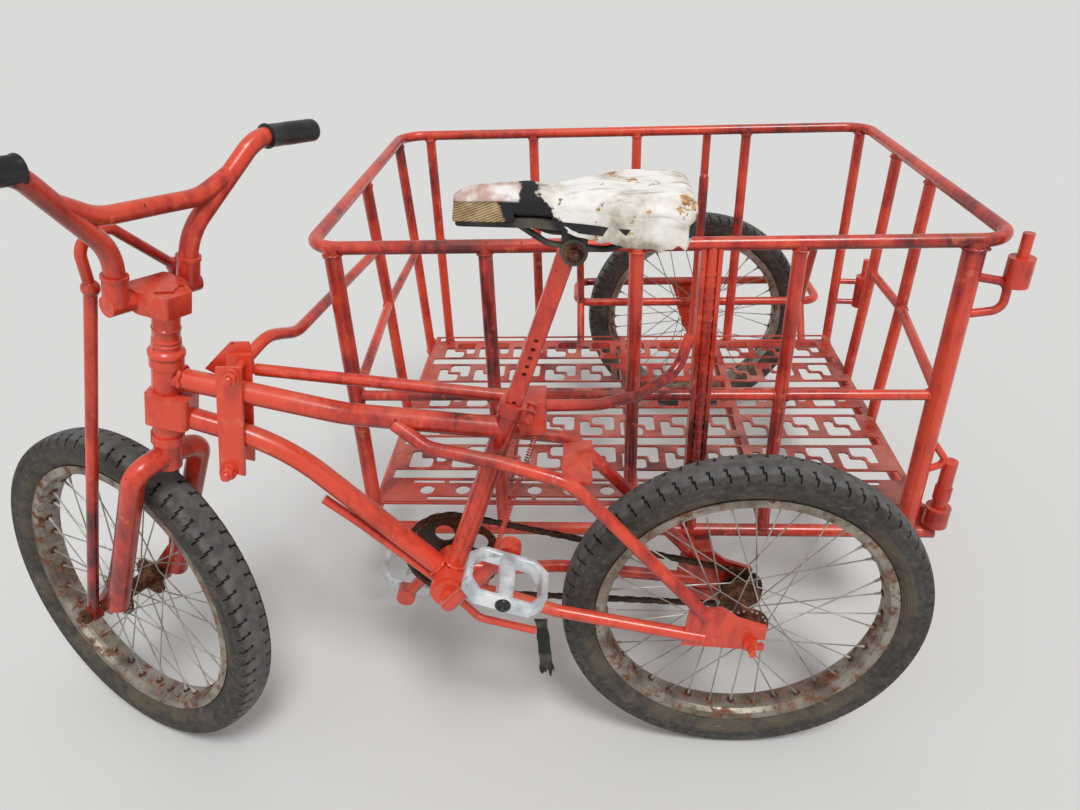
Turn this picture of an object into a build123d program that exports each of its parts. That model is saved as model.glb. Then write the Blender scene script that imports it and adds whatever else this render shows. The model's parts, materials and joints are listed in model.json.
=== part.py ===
from build123d import *
import math
import os

# Cargo sidecar tricycle, millimetres. +X is forward, +Y is the bicycle side, +Z is up.
# It is laid out from the floor under the rear axle, in the middle plane of the bicycle.

# Wheels
RIM_RADIUS = 210.0
RIM_DEPTH = 17.0
RIM_WIDTH = 38.0
TYRE_HEIGHT = 48.0
TYRE_WIDTH = 57.0
TREAD_HALF = 12.0
SPOKE_COUNT = 36
SPOKE_RADIUS = 1.1
HUB_RADIUS = 15.0
HUB_NECK = 11.0
HUB_HALF = 41.0
FLANGE_RADIUS = 31.0
FLANGE_THICKNESS = 3.0
FLANGE_OFFSET = 28.0
AXLE_RADIUS = 5.0
NUT_RADIUS = 10.5
NUT_HEIGHT = 9.0
RUNNING_GAP = 0.05
TYRE_RADIUS = RIM_RADIUS + TYRE_HEIGHT
RIM_BED_RADIUS = RIM_RADIUS - RIM_DEPTH
AXLE_HEIGHT = TYRE_RADIUS

# Bicycle frame
FRAME_TUBE = 14.3
STAY_TUBE = 9.0
BRACE_TUBE = 6.5
HEAD_TUBE = 18.0
SHELL_RADIUS = 26.0
SHELL_HALF = 34.0
CUP_LENGTH = 7.0
BRACKET_X = 412.0
BRACKET_RISE = 60.0
SEAT_TUBE_RISE = 270.0
SEAT_TUBE_SETBACK = 96.0
DROPOUT_GAP = 110.0
DROPOUT_PLATE = 6.0
POST_SIDE = 21.0
POST_LENGTH = 226.0
SADDLE_RISE = 29.0
SADDLE_PAN = 10.0
SADDLE_NOSE = 128.0
SADDLE_TAIL = 136.0
SADDLE_HALF = 72.0
SADDLE_THICKNESS = 32.0
SOFT_GAP = 0.3

# Steering: the axis leans back and the wheel stands turned towards the cage
HEAD_ANGLE = 75.5
HEAD_X = 764.0
HEAD_CLEARANCE = 30.0
HEAD_LENGTH = 128.0
CUP_HEIGHT = 13.0
STEERER = 12.7
STEER_REST = -26.0
FORK_RAKE = 76.0
FORK_SPREAD = 52.0
BLADE_TUBE = 15.0
TRUSS_TUBE = 7.5
TRUSS_SPREAD = 70.0
TRUSS_REACH = 52.0
TRUSS_TOP = 57.0
TRUSS_LEVEL = 212.0
BAR_TUBE = 11.5
CROSSBAR_TUBE = 10.5
BAR_REACH = 20.0
BAR_LEVEL = 203.0
BAR_FOOT = 50.0
BAR_RISE = 168.0
BAR_HALF = 247.0
GRIP_TUBE = 15.0
GRIP_LENGTH = 106.0

# Cage
NEAR_Y = -200.0
FAR_Y = -882.0
FRONT_X = 608.0
REAR_X = -345.0
BEAM_DROP = 18.0
FLOOR_RISE = 32.0
MID_RISE = 256.0
CAGE_HEIGHT = 491.0
RIM_TUBE = 9.5
POST_TUBE = 10.0
MID_TUBE = 8.0
BEAM_TUBE = 10.5
CORNER_BEND = 48.0
FLOOR_SHEET = 3.0

# Floor strips, left over from stamping: each cell holds two hooked openings
STRIP_WIDTH = 80.0
STRIP_PITCH = 107.0
STRIP_COUNT = 5
STRIP_EDGE = 5.0
CELL_LENGTH = 77.0
CELL_COUNT = 11
WAVY_WIDTH = 68.0
WAVY_PITCH = 62.0

# Third wheel and the outrigger that carries it
SIDE_X = -40.0
SIDE_Y = -1010.0
OUTRIGGER_RISE = 64.0
OUTRIGGER_GAP = 130.0
OUTRIGGER_TUBE = 9.5
OUTRIGGER_BEND = 34.0
OUTRIGGER_AHEAD = 27.0
OUTRIGGER_BEHIND = 22.0

# Drive
PITCH = 12.7
RING_TEETH = 36
SPROCKET_TEETH = 16
CHAIN_Y = -44.0
CRANK_LENGTH = 152.0
CRANK_REST = 128.6
CRANK_TUBE = 9.0
EYE_Y = 84.0
EYE_LENGTH = 21.0
PEDAL_Y = 138.0
PEDAL_LENGTH = 100.0
PEDAL_WIDTH = 80.0
PEDAL_THICKNESS = 24.0

BEAM_Z = AXLE_HEIGHT - BEAM_DROP
FLOOR_Z = BEAM_Z + FLOOR_RISE
MID_Z = BEAM_Z + MID_RISE
TOP_Z = BEAM_Z + CAGE_HEIGHT
OUTRIGGER_Z = AXLE_HEIGHT + OUTRIGGER_RISE
OUTRIGGER_FRONT = SIDE_X + TYRE_RADIUS + OUTRIGGER_AHEAD
OUTRIGGER_REAR = SIDE_X - TYRE_RADIUS - OUTRIGGER_BEHIND
HEAD_Z = 2 * TYRE_RADIUS + HEAD_CLEARANCE

os.makedirs("parts", exist_ok=True)


finished = {}


def save(part, name):
    """Keep a finished piece under its name."""
    finished[name] = part


def main_run(part):
    """The largest solid, without the offcuts inside a joint."""
    return max(part.solids(), key=lambda piece: piece.volume)


def tube(points, radius, bends=(), mode=Mode.ADD):
    """Round bar along straight runs, with an arc of the given radius at each corner."""
    spots = [Vector(point) for point in points]
    with BuildLine() as route:
        here = spots[0]
        for i, bend in enumerate(bends, 1):
            arriving = (spots[i] - spots[i - 1]).normalized()
            leaving = (spots[i + 1] - spots[i]).normalized()
            half_turn = math.radians(arriving.get_angle(leaving)) / 2
            reach = bend * math.tan(half_turn)
            inward = (leaving - arriving).normalized()
            enter = spots[i] - arriving * reach
            middle = spots[i] + inward * (bend / math.cos(half_turn) - bend)
            Line(here, enter)
            here = spots[i] + leaving * reach
            ThreePointArc(enter, middle, here)
        Line(here, spots[-1])
    with BuildSketch(Plane(origin=route.line @ 0, z_dir=route.line % 0)) as section:
        Circle(radius)
    sweep(sections=section.sketch, path=route.line, mode=mode)


def hoop(corners, bend, radius):
    """Closed level loop of round bar with rounded corners."""
    spots = [Vector(corner) for corner in corners]
    middle_of_side = (spots[0] + spots[-1]) * 0.5
    tube([middle_of_side] + spots + [middle_of_side], radius, [bend] * len(spots))


def part_way(start, end, share, rise):
    """Point at a share of the way between two others, raised a little."""
    return start + (end - start) * share + Vector(0, 0, rise)


def drum(centre, axis, radius, length, mode=Mode.ADD):
    """Cylinder about an axis, centred on a point."""
    with BuildSketch(Plane(origin=centre, z_dir=axis)) as disc:
        Circle(radius)
    extrude(disc.sketch, amount=length / 2, both=True, mode=mode)


def cut_by(*parts):
    """Cope the part in hand to the pieces it meets."""
    for part in parts:
        add(part, mode=Mode.SUBTRACT)


# Steering frame: forward, left and up the steering axis
lean = math.radians(HEAD_ANGLE)
turn = math.radians(STEER_REST)
AXIS_UP = Vector(-math.cos(lean), 0, math.sin(lean))
STRAIGHT = Vector(math.sin(lean), 0, math.cos(lean))
AHEAD = STRAIGHT * math.cos(turn) + Vector(0, 1, 0) * math.sin(turn)
LEFT = STRAIGHT * -math.sin(turn) + Vector(0, 1, 0) * math.cos(turn)
HEAD_BASE = Vector(HEAD_X, 0, HEAD_Z)


def steered(ahead, left, up):
    """Point in the steering frame, measured from the bottom of the head tube."""
    return HEAD_BASE + AHEAD * ahead + LEFT * left + AXIS_UP * up


def on_head(up):
    """Point on the steering axis."""
    return HEAD_BASE + AXIS_UP * up


# The wheel leans as it turns, so the fork is as long as its tread's edge needs to reach the floor
CAMBER = math.asin(abs(LEFT.Z))
FRONT_AXLE_Z = TYRE_RADIUS * math.cos(CAMBER) + TREAD_HALF * math.sin(CAMBER)
FORK_LENGTH = (HEAD_Z - FRONT_AXLE_Z + FORK_RAKE * AHEAD.Z) / AXIS_UP.Z
FRONT_AXLE = steered(FORK_RAKE, 0, -FORK_LENGTH)
REAR_AXLE = Vector(0, 0, AXLE_HEIGHT)
SIDE_AXLE = Vector(SIDE_X, SIDE_Y, AXLE_HEIGHT)
BRACKET = REAR_AXLE + Vector(BRACKET_X, 0, BRACKET_RISE)
CLUSTER = BRACKET + Vector(-SEAT_TUBE_SETBACK, 0, SEAT_TUBE_RISE)
ACROSS = Vector(0, 1, 0)


# One wheel about the Y axis, turned and moved to each of its three places
HUB_SPIN = Axis((0, 0, 0), (0, 1, 0))
WHEEL_SECTION = Plane(origin=(0, 0, 0), x_dir=(0, 1, 0), z_dir=(1, 0, 0))
half = TYRE_WIDTH / 2
seat = RIM_WIDTH / 2
tyre_side = (  # across, radius
    (seat - 3, RIM_RADIUS - 6),
    (seat - 3, RIM_RADIUS + 0.5),
    (half, RIM_RADIUS + 0.46 * TYRE_HEIGHT),
    (half - 2.5, RIM_RADIUS + 0.82 * TYRE_HEIGHT),
    (TREAD_HALF, TYRE_RADIUS),
)
with BuildPart() as tyre:
    with BuildSketch(WHEEL_SECTION) as profile:
        with BuildLine():
            Polyline(*tyre_side, *((-across, radius) for across, radius in reversed(tyre_side)), close=True)
        make_face()
    revolve(profile.sketch, axis=HUB_SPIN)

with BuildPart() as rim:
    with BuildSketch(WHEEL_SECTION) as profile:
        with BuildLine():
            Polyline(
                (-seat, RIM_RADIUS), (-seat, RIM_RADIUS - 12), (-seat + 7, RIM_BED_RADIUS + 1),
                (-seat + 12, RIM_BED_RADIUS), (seat - 12, RIM_BED_RADIUS), (seat - 7, RIM_BED_RADIUS + 1),
                (seat, RIM_RADIUS - 12), (seat, RIM_RADIUS), (seat - 2.7, RIM_RADIUS),
                (seat - 2.7, RIM_RADIUS - 7), (-seat + 2.7, RIM_RADIUS - 7), (-seat + 2.7, RIM_RADIUS),
                close=True,
            )
        make_face()
    revolve(profile.sketch, axis=HUB_SPIN)

spokes = []
for i in range(SPOKE_COUNT):
    side = 1 if i % 2 else -1
    lead = 1 if (i // 2) % 2 else -1
    at_rim = 2 * math.pi * i / SPOKE_COUNT
    at_flange = at_rim + lead * math.radians(62)
    reach = RIM_BED_RADIUS - 0.3
    tip = Vector(reach * math.sin(at_rim), side * 3, reach * math.cos(at_rim))
    hole = FLANGE_RADIUS - 4
    root = Vector(hole * math.sin(at_flange), side * FLANGE_OFFSET, hole * math.cos(at_flange))
    with BuildPart() as spoke:
        with BuildSketch(Plane(origin=root, z_dir=tip - root)) as wire:
            RegularPolygon(SPOKE_RADIUS, 4)
        extrude(wire.sketch, amount=(tip - root).length)
    spokes.append(spoke.part)

with BuildPart() as hub:
    drum((0, 0, 0), (0, 1, 0), HUB_RADIUS, 2 * FLANGE_OFFSET)
    for side in (-1, 1):
        drum((0, side * FLANGE_OFFSET, 0), (0, 1, 0), FLANGE_RADIUS, FLANGE_THICKNESS)
        neck = (FLANGE_OFFSET + HUB_HALF) / 2
        drum((0, side * neck, 0), (0, 1, 0), HUB_NECK, HUB_HALF - FLANGE_OFFSET)
    add(spokes)
    drum((0, 0, 0), (0, 1, 0), AXLE_RADIUS + RUNNING_GAP, 3 * HUB_HALF, mode=Mode.SUBTRACT)

for place, centre, axis in (
    ("rear", REAR_AXLE, ACROSS),
    ("side", SIDE_AXLE, ACROSS),
    ("front", FRONT_AXLE, LEFT),
):
    upright_dir = (Vector(0, 0, 1) - axis * axis.Z).normalized()
    stand = Plane(origin=centre, x_dir=axis.cross(upright_dir), z_dir=upright_dir).location
    save(tyre.part.moved(stand), place + "_wheel_tyre")
    save(rim.part.moved(stand), place + "_wheel_rim")
    save(hub.part.moved(stand), place + "_wheel_spoked_hub")


# Seat tube with the bottom bracket shell and its cups
with BuildPart() as seat_tube:
    tube([BRACKET, CLUSTER], FRAME_TUBE)
    drum(BRACKET, ACROSS, SHELL_RADIUS, 2 * SHELL_HALF)
    for side in (-1, 1):
        cup = BRACKET + ACROSS * (side * (SHELL_HALF + CUP_LENGTH / 2))
        drum(cup, ACROSS, SHELL_RADIUS - 4, CUP_LENGTH)
    drum(BRACKET, ACROSS, CRANK_TUBE + RUNNING_GAP, 2 * (SHELL_HALF + CUP_LENGTH) + 2, mode=Mode.SUBTRACT)
save(seat_tube.part, "seat_tube")

# Head tube with its cups and the plate wrapped round it
with BuildPart() as head_tube:
    drum(on_head(HEAD_LENGTH / 2), AXIS_UP, HEAD_TUBE, HEAD_LENGTH - 2 * CUP_HEIGHT + 2)
    for up in (CUP_HEIGHT / 2, HEAD_LENGTH - CUP_HEIGHT / 2):
        drum(on_head(up), AXIS_UP, HEAD_TUBE + 2.5, CUP_HEIGHT)
    wrap_plane = Plane(origin=on_head(34), x_dir=STRAIGHT, z_dir=AXIS_UP)
    with BuildSketch(wrap_plane) as wrap:
        with Locations((-6, 0)):
            RectangleRounded(54, 46, 8)
    extrude(wrap.sketch, amount=44)
    drum(on_head(HEAD_LENGTH / 2), AXIS_UP, STEERER + RUNNING_GAP, HEAD_LENGTH + 2, mode=Mode.SUBTRACT)
save(head_tube.part, "head_tube")

# Top tube, down tube and the thin brace under it
with BuildPart() as top_tube:
    upper_end = on_head(HEAD_LENGTH - 30)
    lower_end = CLUSTER + Vector(0, 0, -24)
    tube([upper_end, part_way(upper_end, lower_end, 0.507, -16), lower_end], FRAME_TUBE, [220])
    cut_by(head_tube.part, seat_tube.part)
top_tube = main_run(top_tube.part)
save(top_tube, "top_tube")

with BuildPart() as down_tube:
    upper_end = on_head(46)
    tube([upper_end, part_way(upper_end, BRACKET, 0.413, 60), BRACKET], FRAME_TUBE, [260])
    cut_by(head_tube.part, seat_tube.part)
down_tube = main_run(down_tube.part)
save(down_tube, "down_tube")

with BuildPart() as lower_brace:
    tube(
        [BRACKET + Vector(162, 0, 134), BRACKET + Vector(120, 0, 95), BRACKET + Vector(24, 0, -5)],
        BRACE_TUBE,
        [300],
    )
    cut_by(down_tube, seat_tube.part)
lower_brace = main_run(lower_brace.part)
save(lower_brace, "lower_brace")

# Seat stays with the bridge plate between them
dropout_y = (DROPOUT_GAP + DROPOUT_PLATE) / 2
with BuildPart() as seat_stays:
    for side in (-1, 1):
        tube(
            [CLUSTER + Vector(144, side * 10, -12), CLUSTER + Vector(102, side * 28, -35),
             CLUSTER + Vector(14, side * 36, -51), CLUSTER + Vector(-76, side * 51, -71),
             REAR_AXLE + Vector(58, side * dropout_y, 42)],
            STAY_TUBE,
            [40, 120, 70],
        )
    with BuildSketch(Plane.XY.offset(CLUSTER.Z - 76)) as bridge:
        with Locations((CLUSTER.X - 83, 0)):
            Rectangle(38, 94)
    extrude(bridge.sketch, amount=4)
    cut_by(top_tube, seat_tube.part)
save(seat_stays.part, "seat_stays")

# Chain stays with the dropouts
with BuildPart() as chain_stays:
    for side in (-1, 1):
        tube(
            [BRACKET + Vector(-8, side * 20, 0), BRACKET + Vector(-74, side * 26.5, -10),
             REAR_AXLE + Vector(262, side * (dropout_y - 12.5), 39),
             REAR_AXLE + Vector(62, side * dropout_y, 6)],
            STAY_TUBE,
            [60, 60],
        )
        face = Plane(origin=REAR_AXLE + ACROSS * (side * dropout_y), x_dir=(1, 0, 0), z_dir=(0, -1, 0))
        slot = AXLE_RADIUS + 0.5
        with BuildSketch(face) as plate:
            with BuildLine():
                Polyline(
                    (84, 60), (92, -6), (-20, -15), (-20, -slot), (slot + 0.5, -slot),
                    (slot + 0.5, slot), (-20, slot), (-20, 28), (18, 42), (40, 60), close=True,
                )
            make_face()
        extrude(plate.sketch, amount=DROPOUT_PLATE / 2, both=True)
    drum(BRACKET, ACROSS, SHELL_RADIUS, 2 * SHELL_HALF, mode=Mode.SUBTRACT)
    cut_by(seat_stays.part)
save(chain_stays.part, "chain_stays")

# Rear axle with its nuts
with BuildPart() as rear_axle:
    drum(REAR_AXLE, ACROSS, AXLE_RADIUS, DROPOUT_GAP + 2 * 28)
    for side in (-1, 1):
        seat = REAR_AXLE + ACROSS * (side * (DROPOUT_GAP / 2 + DROPOUT_PLATE))
        with BuildSketch(Plane(origin=seat, z_dir=ACROSS * side)) as nut:
            RegularPolygon(NUT_RADIUS, 6)
        extrude(nut.sketch, amount=NUT_HEIGHT)
        inner = HUB_HALF + 3.8
        outer = DROPOUT_GAP / 2 - 0.2
        drum(REAR_AXLE + ACROSS * (side * (inner + outer) / 2), ACROSS, 9.0, outer - inner)
save(rear_axle.part, "rear_axle")

# Front frame clamp: two plates with two bolts, and a corner plate
with BuildPart() as front_clamp:
    for side in (-1, 1):
        beside = HEAD_BASE + ACROSS * (side * (FRAME_TUBE + 2.7))
        with BuildSketch(Plane(origin=beside, x_dir=(1, 0, 0), z_dir=(0, -1, 0))) as plate:
            with BuildLine():
                Polyline((-130, 116), (-98, 116), (-68, -34), (-100, -44), close=True)
            make_face()
        extrude(plate.sketch, amount=2.5, both=True)
    beside = HEAD_BASE - ACROSS * (FRAME_TUBE + 7.5)
    with BuildSketch(Plane(origin=beside, x_dir=(1, 0, 0), z_dir=(0, -1, 0))) as corner:
        with BuildLine():
            Polyline((-76, 86), (-64, 94), (-104, 130), (-128, 130), (-128, 86), close=True)
        make_face()
    extrude(corner.sketch, amount=2.3, both=True)
    for ahead, up in ((-116, 104), (-81, -35)):
        bolt = HEAD_BASE + Vector(ahead, 0, up)
        drum(bolt, ACROSS, 5.0, 74)
        for side in (-1, 1):
            seat = bolt + ACROSS * (side * (FRAME_TUBE + 10))
            with BuildSketch(Plane(origin=seat, z_dir=(0, side, 0))) as head:
                RegularPolygon(9.5, 6)
            extrude(head.sketch, amount=7)
            drum(bolt + ACROSS * (side * (FRAME_TUBE + 7)), ACROSS, 11.0, 7)
    cut_by(top_tube, down_tube)
save(front_clamp.part, "front_clamp")

# Box bracket welded to the side of the seat tube, clear of the clamp above it
post_run = (CLUSTER - BRACKET).normalized()
with BuildPart() as seat_bracket:
    with BuildSketch(Plane.XY.offset(CLUSTER.Z - 42)) as block:
        with Locations((CLUSTER.X - 26, -34.5)):
            Rectangle(34, 45)
    extrude(block.sketch, amount=48)
    drum(CLUSTER + post_run * 25, post_run, 18.5, 52, mode=Mode.SUBTRACT)
    cut_by(seat_stays.part, top_tube, seat_tube.part)
seat_bracket = main_run(seat_bracket.part)
save(seat_bracket, "seat_bracket")

# Straight upper link bar from the clamp to the box bracket
with BuildPart() as upper_link:
    tube([HEAD_BASE + Vector(-124, -32, 86), CLUSTER + Vector(-14, -36, 0)], MID_TUBE)
    cut_by(front_clamp.part, seat_bracket)
upper_link = main_run(upper_link.part)
save(upper_link, "upper_link")


# Cage top rim
with BuildPart() as cage_rim:
    hoop(
        [(FRONT_X, NEAR_Y, TOP_Z), (FRONT_X, FAR_Y, TOP_Z), (REAR_X, FAR_Y, TOP_Z), (REAR_X, NEAR_Y, TOP_Z)],
        CORNER_BEND,
        RIM_TUBE,
    )
save(cage_rim.part, "cage_rim")

# Floor beams: a rectangle of pipe with cross members
FLOOR_FRONT = FRONT_X - 20
FLOOR_REAR = REAR_X + 7
FLOOR_UNDER = FLOOR_Z - FLOOR_SHEET / 2
cross_members = (FLOOR_FRONT - 2, 362, 140, -70, FLOOR_REAR + 12)
with BuildPart() as floor_beams:
    for y in (NEAR_Y, FAR_Y):
        tube([(FLOOR_FRONT, y, BEAM_Z), (FLOOR_REAR, y, BEAM_Z)], BEAM_TUBE)
    for x in cross_members:
        tube([(x, NEAR_Y, BEAM_Z), (x, FAR_Y, BEAM_Z)], BEAM_TUBE - 1.5)
        for y in (NEAR_Y - 28, FAR_Y + 28):
            tube([(x, y, BEAM_Z), (x, y, FLOOR_UNDER)], 7.0)
save(floor_beams.part, "floor_beams")

# Posts: place along the side, or across for the ends, and radius
REAR_POST = REAR_X + 53
CORNER_POST_X = REAR_X + CORNER_BEND * (1 - math.sqrt(0.5))
CORNER_POST_Y = FAR_Y + CORNER_BEND * (1 - math.sqrt(0.5))
near_posts = ((573, 12.0), (360, POST_TUBE), (153, POST_TUBE), (-65, POST_TUBE), (REAR_POST, 15.0))
far_posts = ((550, FAR_Y), (333, FAR_Y), (118, FAR_Y), (-106, FAR_Y), (CORNER_POST_X, CORNER_POST_Y))
front_posts = (-546, -832)
rear_posts = (-510, -681)


def upright(x, y, radius):
    """Post from the floor beam to the rim."""
    tube([(x, y, BEAM_Z), (x, y, TOP_Z)], radius)


with BuildPart() as near_uprights:
    for x, radius in near_posts:
        upright(x, NEAR_Y, radius)
    cut_by(cage_rim.part, floor_beams.part)
save(near_uprights.part, "cage_near_posts")

with BuildPart() as far_uprights:
    for x, y in far_posts:
        upright(x, y, POST_TUBE)
    cut_by(cage_rim.part, floor_beams.part)
save(far_uprights.part, "cage_far_posts")

# The end posts lean out from the floor to the rim
with BuildPart() as front_uprights:
    for y in front_posts:
        foot = (FLOOR_FRONT - 2, y, BEAM_Z)
        tube([foot, (FLOOR_FRONT + 8, y, MID_Z), (FRONT_X, y, TOP_Z)], POST_TUBE, [400])
    cut_by(cage_rim.part, floor_beams.part)
save(front_uprights.part, "cage_front_posts")

with BuildPart() as rear_uprights:
    for y in rear_posts:
        foot = (FLOOR_REAR + 12, y, BEAM_Z)
        tube([foot, (REAR_X + 6, y, MID_Z), (REAR_X, y, TOP_Z)], POST_TUBE, [400])
    cut_by(cage_rim.part, floor_beams.part)
save(rear_uprights.part, "cage_rear_posts")

# Ribbed post between two flat bars, down past the floor
REBAR_X = 52.0
REBAR_FOOT = AXLE_HEIGHT - 58
RIB_PITCH = 17.0
rib_count = int((TOP_Z - FLOOR_Z - 30) / RIB_PITCH)
with BuildPart() as rib:
    with BuildSketch() as ring:
        RegularPolygon(10.6, 12)
    extrude(ring.sketch, amount=5)
with BuildPart() as ribbed_post:
    tube([(REBAR_X, NEAR_Y, REBAR_FOOT), (REBAR_X, NEAR_Y, TOP_Z)], 9.0)
    with Locations(*((REBAR_X, NEAR_Y, FLOOR_Z + 8 + RIB_PITCH * i) for i in range(rib_count))):
        add(rib.part)
    for aside, thickness, foot in ((12.0, 7.0, REBAR_FOOT), (-11.0, 6.0, FLOOR_Z + 6)):
        with BuildSketch(Plane.XY.offset(foot)) as flat_bar:
            with Locations((REBAR_X + aside, NEAR_Y - 4)):
                Rectangle(thickness, 24)
        extrude(flat_bar.sketch, amount=TOP_Z - foot)
    cut_by(cage_rim.part, floor_beams.part)
save(ribbed_post.part, "ribbed_post")

# Mid rails between the posts of each side
near_front = (573, NEAR_Y, MID_Z)
near_rear = (REAR_POST, NEAR_Y, MID_Z)
with BuildPart() as mid_rails:
    tube([near_front, near_rear], MID_TUBE)
    tube([(x, y, MID_Z) for x, y in (far_posts[0], far_posts[3], far_posts[4])], MID_TUBE, [600])
    tube([near_front, *((FLOOR_FRONT + 8, y, MID_Z) for y in front_posts)], MID_TUBE, [300])
    tube([near_rear, *((REAR_X + 6, y, MID_Z) for y in rear_posts)], MID_TUBE, [300])
    cut_by(near_uprights.part, far_uprights.part, front_uprights.part, rear_uprights.part, ribbed_post.part)
save(mid_rails.part, "mid_rails")

# Floor grating: strips of stamping scrap welded between a border and three cross straps
floor_middle = ((FLOOR_FRONT + FLOOR_REAR) / 2, (NEAR_Y + FAR_Y) / 2)
floor_size = (FLOOR_FRONT - FLOOR_REAR - 24, NEAR_Y - FAR_Y - 44)
strip_start = NEAR_Y - 122
inner = STRIP_WIDTH / 2 - STRIP_EDGE
web = 3.0
# The hooked opening, from the middle of its cell: a long slot whose end widens past the middle
half_cell = CELL_LENGTH / 2
hooked_opening = (
    (half_cell - 43, web), (half_cell - 27, web), (half_cell - 24, -1), (half_cell - 24, -13),
    (half_cell - 20, -17), (half_cell - 10, -17), (half_cell - 6, -13), (half_cell - 6, inner - 4),
    (half_cell - 10, inner), (half_cell - 43, inner), (half_cell - 48, inner - 5),
    (half_cell - 48, web + 5),
)
with BuildSketch() as opening:
    with BuildLine():
        Polyline(*hooked_opening, close=True)
    make_face()
with BuildSketch() as strip:
    Rectangle(floor_size[0] - 2, STRIP_WIDTH)
    for turned in (0, 180):
        with GridLocations(CELL_LENGTH, 0, CELL_COUNT, 1):
            add(opening.sketch, rotation=turned, mode=Mode.SUBTRACT)
strip_places = [(floor_middle[0], strip_start - STRIP_WIDTH / 2 - k * STRIP_PITCH) for k in range(STRIP_COUNT)]
post_places = [(FLOOR_REAR + 10, y) for y in rear_posts] + [(FLOOR_FRONT - 1, y) for y in front_posts]
post_places.append((CORNER_POST_X, CORNER_POST_Y))
wavy_y = NEAR_Y - 27 - WAVY_WIDTH / 2
wave_count = int(floor_size[0] / WAVY_PITCH) - 1
with BuildSketch() as wavy_strip:
    Rectangle(floor_size[0] - 2, WAVY_WIDTH)
    with GridLocations(WAVY_PITCH, 0, wave_count, 1):
        RegularPolygon(13, 10, mode=Mode.SUBTRACT)
        with Locations((0, 10 - WAVY_WIDTH / 2)):
            Rectangle(WAVY_PITCH - 8, 10, mode=Mode.SUBTRACT)
    with Locations((0, WAVY_WIDTH / 2 - 11)):
        with GridLocations(3 * WAVY_PITCH, 0, wave_count // 3, 1):
            Rectangle(3 * WAVY_PITCH - 8, 10, mode=Mode.SUBTRACT)
with BuildPart() as floor_grating:
    with BuildSketch(Plane.XY.offset(FLOOR_UNDER)) as sheet:
        with Locations(floor_middle):
            Rectangle(*floor_size)
            Rectangle(floor_size[0] - 2 * BEAM_TUBE, floor_size[1] - 6, mode=Mode.SUBTRACT)
        with Locations(*((x, floor_middle[1]) for x in cross_members[1:4])):
            Rectangle(12, floor_size[1])
        with Locations(*strip_places):
            add(strip.sketch)
        with Locations((floor_middle[0], wavy_y)):
            add(wavy_strip.sketch)
        with Locations(*post_places):
            Circle(POST_TUBE + 1.5, mode=Mode.SUBTRACT)
    extrude(sheet.sketch, amount=FLOOR_SHEET, clean=False)
floor_grating = main_run(floor_grating.part)
save(floor_grating, "floor_grating")

# Bent link tube from the clamp to the first front post
with BuildPart() as bent_link:
    tube(
        [HEAD_BASE + Vector(-114, -26, 100), HEAD_BASE + Vector(-148, -84, 118),
         (FRONT_X - 10, front_posts[0], MID_Z + 116)],
        MID_TUBE,
        [60],
    )
    cut_by(front_clamp.part, upper_link, front_uprights.part, near_uprights.part)
bent_link = main_run(bent_link.part)
save(bent_link, "bent_link")

# Ribbed link bar from the box bracket to the ribbed post
with BuildPart() as ribbed_link:
    tube(
        [CLUSTER + Vector(-36, -44, -17), CLUSTER + Vector(-112, -80, -37), CLUSTER + Vector(-168, -122, -46),
         CLUSTER + Vector(-224, -172, -35), (REBAR_X + 22.8, NEAR_Y + 5, CLUSTER.Z + 10)],
        MID_TUBE,
        [90, 90, 50],
    )
    cut_by(seat_bracket, ribbed_post.part, seat_stays.part)
ribbed_link = main_run(ribbed_link.part)
save(ribbed_link, "ribbed_link")

# Rear link: flat bar from the foot of the ribbed post to the right dropout
LINK_Z = AXLE_HEIGHT - 46
ear_face = -(DROPOUT_GAP / 2 + DROPOUT_PLATE)
with BuildPart() as rear_link:
    with BuildSketch(Plane.XY.offset(LINK_Z)) as bar:
        with Locations((REBAR_X - 10, (NEAR_Y - 12 + ear_face - 7) / 2)):
            Rectangle(48, ear_face - 7 - NEAR_Y + 12)
    extrude(bar.sketch, amount=8)
    with BuildSketch(Plane.XY.offset(LINK_Z)) as ear:
        with Locations((REBAR_X - 10, ear_face - 3.5)):
            Rectangle(48, 7)
    extrude(ear.sketch, amount=52)
    cut_by(ribbed_post.part, chain_stays.part, rear_axle.part, floor_beams.part)
rear_link = main_run(rear_link.part)
save(rear_link, "rear_link")

# Rear near corner: socket with pin above, loops and pipe below
corner = Vector(REAR_X - 7, NEAR_Y + 8, TOP_Z)
with BuildPart() as corner_socket:
    drum(corner - Vector(0, 0, 41), (0, 0, 1), 17.0, 40)
    drum(corner - Vector(0, 0, 5), (0, 0, 1), 7.5, 34)
    tube(
        [(REAR_POST, NEAR_Y, TOP_Z - 107), corner + Vector(7, -2, -97), corner + Vector(7, -2, -57),
         (REAR_POST, NEAR_Y, TOP_Z - 49)],
        6.0,
        [17, 17],
    )
    cut_by(cage_rim.part, near_uprights.part)
save(corner_socket.part, "corner_socket")

with BuildPart() as lower_socket:
    tube([(REAR_POST, NEAR_Y, MID_Z - 68), (REAR_POST - 40, NEAR_Y, MID_Z - 120),
          (REAR_POST, NEAR_Y, MID_Z - 138)], 5.5, [12])
    for drop, radius, length in ((90, 11.0, 96), (78, 13.0, 22), (34, 19.0, 34)):
        drum((REAR_X + 8, NEAR_Y, BEAM_Z + drop), (0, 0, 1), radius, length)
    cut_by(near_uprights.part, floor_beams.part)
save(lower_socket.part, "lower_socket")

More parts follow.
